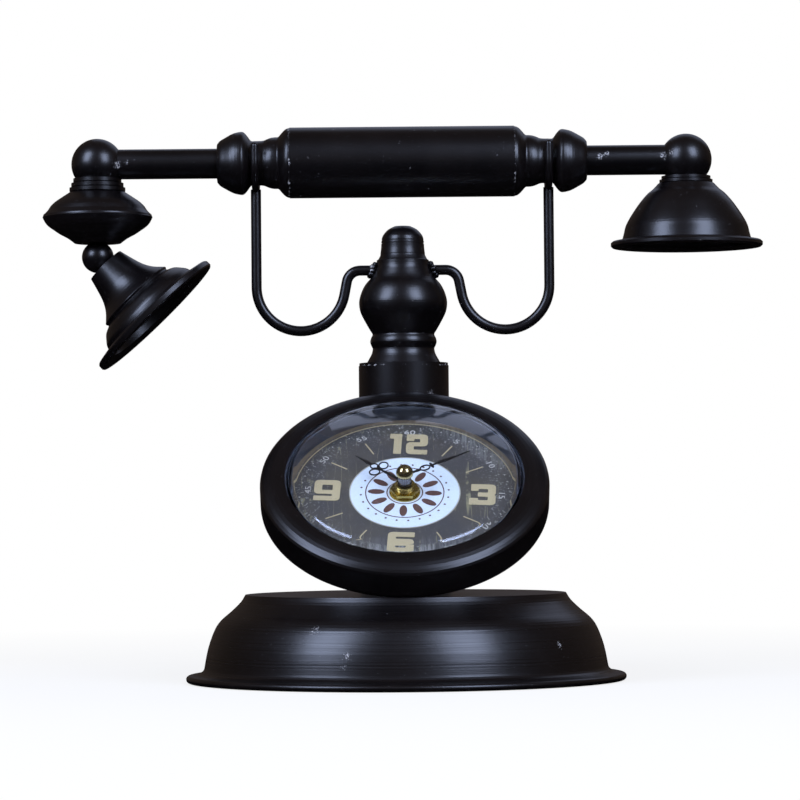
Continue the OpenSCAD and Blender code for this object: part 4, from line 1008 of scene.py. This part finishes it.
def seenDirectly(tree, path):
    # 1 for the camera's own rays, also through the glass, and 0 once they have bounced off something
    depths = path.outputs["Diffuse Depth"], path.outputs["Glossy Depth"]
    bounced = addNode(tree, "Math", *depths, operation="ADD", use_clamp=True)
    through = addNode(tree, "Math", path.outputs["Is Transmission Ray"], bounced, operation="SUBTRACT",
                      use_clamp=True)
    return strongest(tree, [path.outputs["Is Camera Ray"], through])


def floorPaint(name):
    # pale paint that glows white to the camera and stays dark in reflections
    s = studio
    material, tree = newMaterial(name)
    away = addNode(tree, "VectorMath", objectSpace(tree), operation="LENGTH")
    path = addNode(tree, "LightPath")
    paint = addNode(tree, "BsdfDiffuse", linear(s["floorColour"]))
    glow = addNode(tree, "Emission", (1, 1, 1, 1), 1.0)
    dim = addNode(tree, "BsdfDiffuse", linear(s["floorGloss"]))
    far = addNode(tree, "Math", fade(tree, away, *s["glowFade"]), s["glowFar"], s["glowNear"],
                  operation="MULTIPLY_ADD")
    shown = addNode(tree, "MixShader", together(tree, [seenDirectly(tree, path), far]), paint, glow)
    mirrored = addNode(tree, "MixShader", path.outputs["Is Glossy Ray"], shown, dim)
    addNode(tree, "OutputMaterial", Surface=mirrored)
    return material


def makeFloor():
    deselectAll()
    bpy.ops.mesh.primitive_plane_add(size=studio["floorSize"], location=(0, 0, -studio["floorDrop"]))
    floor = bpy.context.object
    floor.name = "studio_floor"
    floor.data.materials.append(floorPaint("pale studio floor"))


def makeSky():
    # white to the camera, a soft grey fill, and a warm dark room in reflections
    world = bpy.data.worlds.new("studio sky")
    bpy.context.scene.world = world
    world.use_nodes = True
    tree = world.node_tree
    tree.nodes.clear()
    path = addNode(tree, "LightPath")
    fill = (*[studio["skyFill"]] * 3, 1)
    light = addNode(tree, "Mix", path.outputs["Is Glossy Ray"], fill, linear(studio["skyGloss"]),
                    data_type="RGBA")
    light = addNode(tree, "Mix", seenDirectly(tree, path), light, (1, 1, 1, 1), data_type="RGBA")
    addNode(tree, "OutputWorld", Surface=addNode(tree, "Background", light, 1.0))


lampColour = "#ccdbff"
lampAim = (0, 0.02, 0.12)
lamps = {
    "left_window": {"azimuth": -50, "elevation": 32, "distance": 1.3, "wide": 0.56, "tall": 0.8,
                    "power": 12.8},
    "right_window": {"azimuth": 37, "elevation": 32, "distance": 1.3, "wide": 0.56, "tall": 0.8,
                     "power": 12.8},
    "back_lamp": {"azimuth": 165, "elevation": 40, "distance": 1.6, "wide": 1.4, "tall": 1.0, "power": 2.5},
}


def makeLamp(name, azimuth, elevation, distance, wide, tall, power):
    # a soft box, placed by degrees round from the front and up from the floor
    a, e = math.radians(azimuth), math.radians(elevation)
    outward = Vector((math.sin(a) * math.cos(e), -math.cos(a) * math.cos(e), math.sin(e)))
    bpy.ops.object.light_add(type="AREA", location=Vector(lampAim) + distance * outward)
    lamp = bpy.context.object
    lamp.name = name
    lamp.data.shape = "RECTANGLE"
    lamp.data.size = wide
    lamp.data.size_y = tall
    lamp.data.energy = power
    lamp.data.color = linear(lampColour)[:3]
    lamp.rotation_euler = outward.to_track_quat("Z", "Y").to_euler()


view = {"from": (0, -1.45, 0.0755), "aim": (-0.0017, 0, 0.1194), "lens": 153.0, "sensor": 36, "roll": -0.5,
        "reach": 40}


def makeCamera():
    bpy.ops.object.camera_add(location=view["from"])
    camera = bpy.context.object
    camera.name = "studio_camera"
    camera.data.lens = view["lens"]
    camera.data.sensor_width = view["sensor"]
    camera.data.clip_end = view["reach"]
    camera.data.dof.use_dof = False
    look = (Vector(view["aim"]) - camera.location).to_track_quat("-Z", "Y").to_matrix().to_4x4()
    roll = Matrix.Rotation(math.radians(view["roll"]), 4, "Z")
    camera.matrix_world = Matrix.Translation(camera.location) @ look @ roll
    bpy.context.scene.camera = camera
    bpy.context.scene.view_settings.view_transform = "Standard"


makeFloor()
makeSky()
for name, lamp in lamps.items():
    makeLamp(name, **lamp)
makeCamera()
print("studio ready")
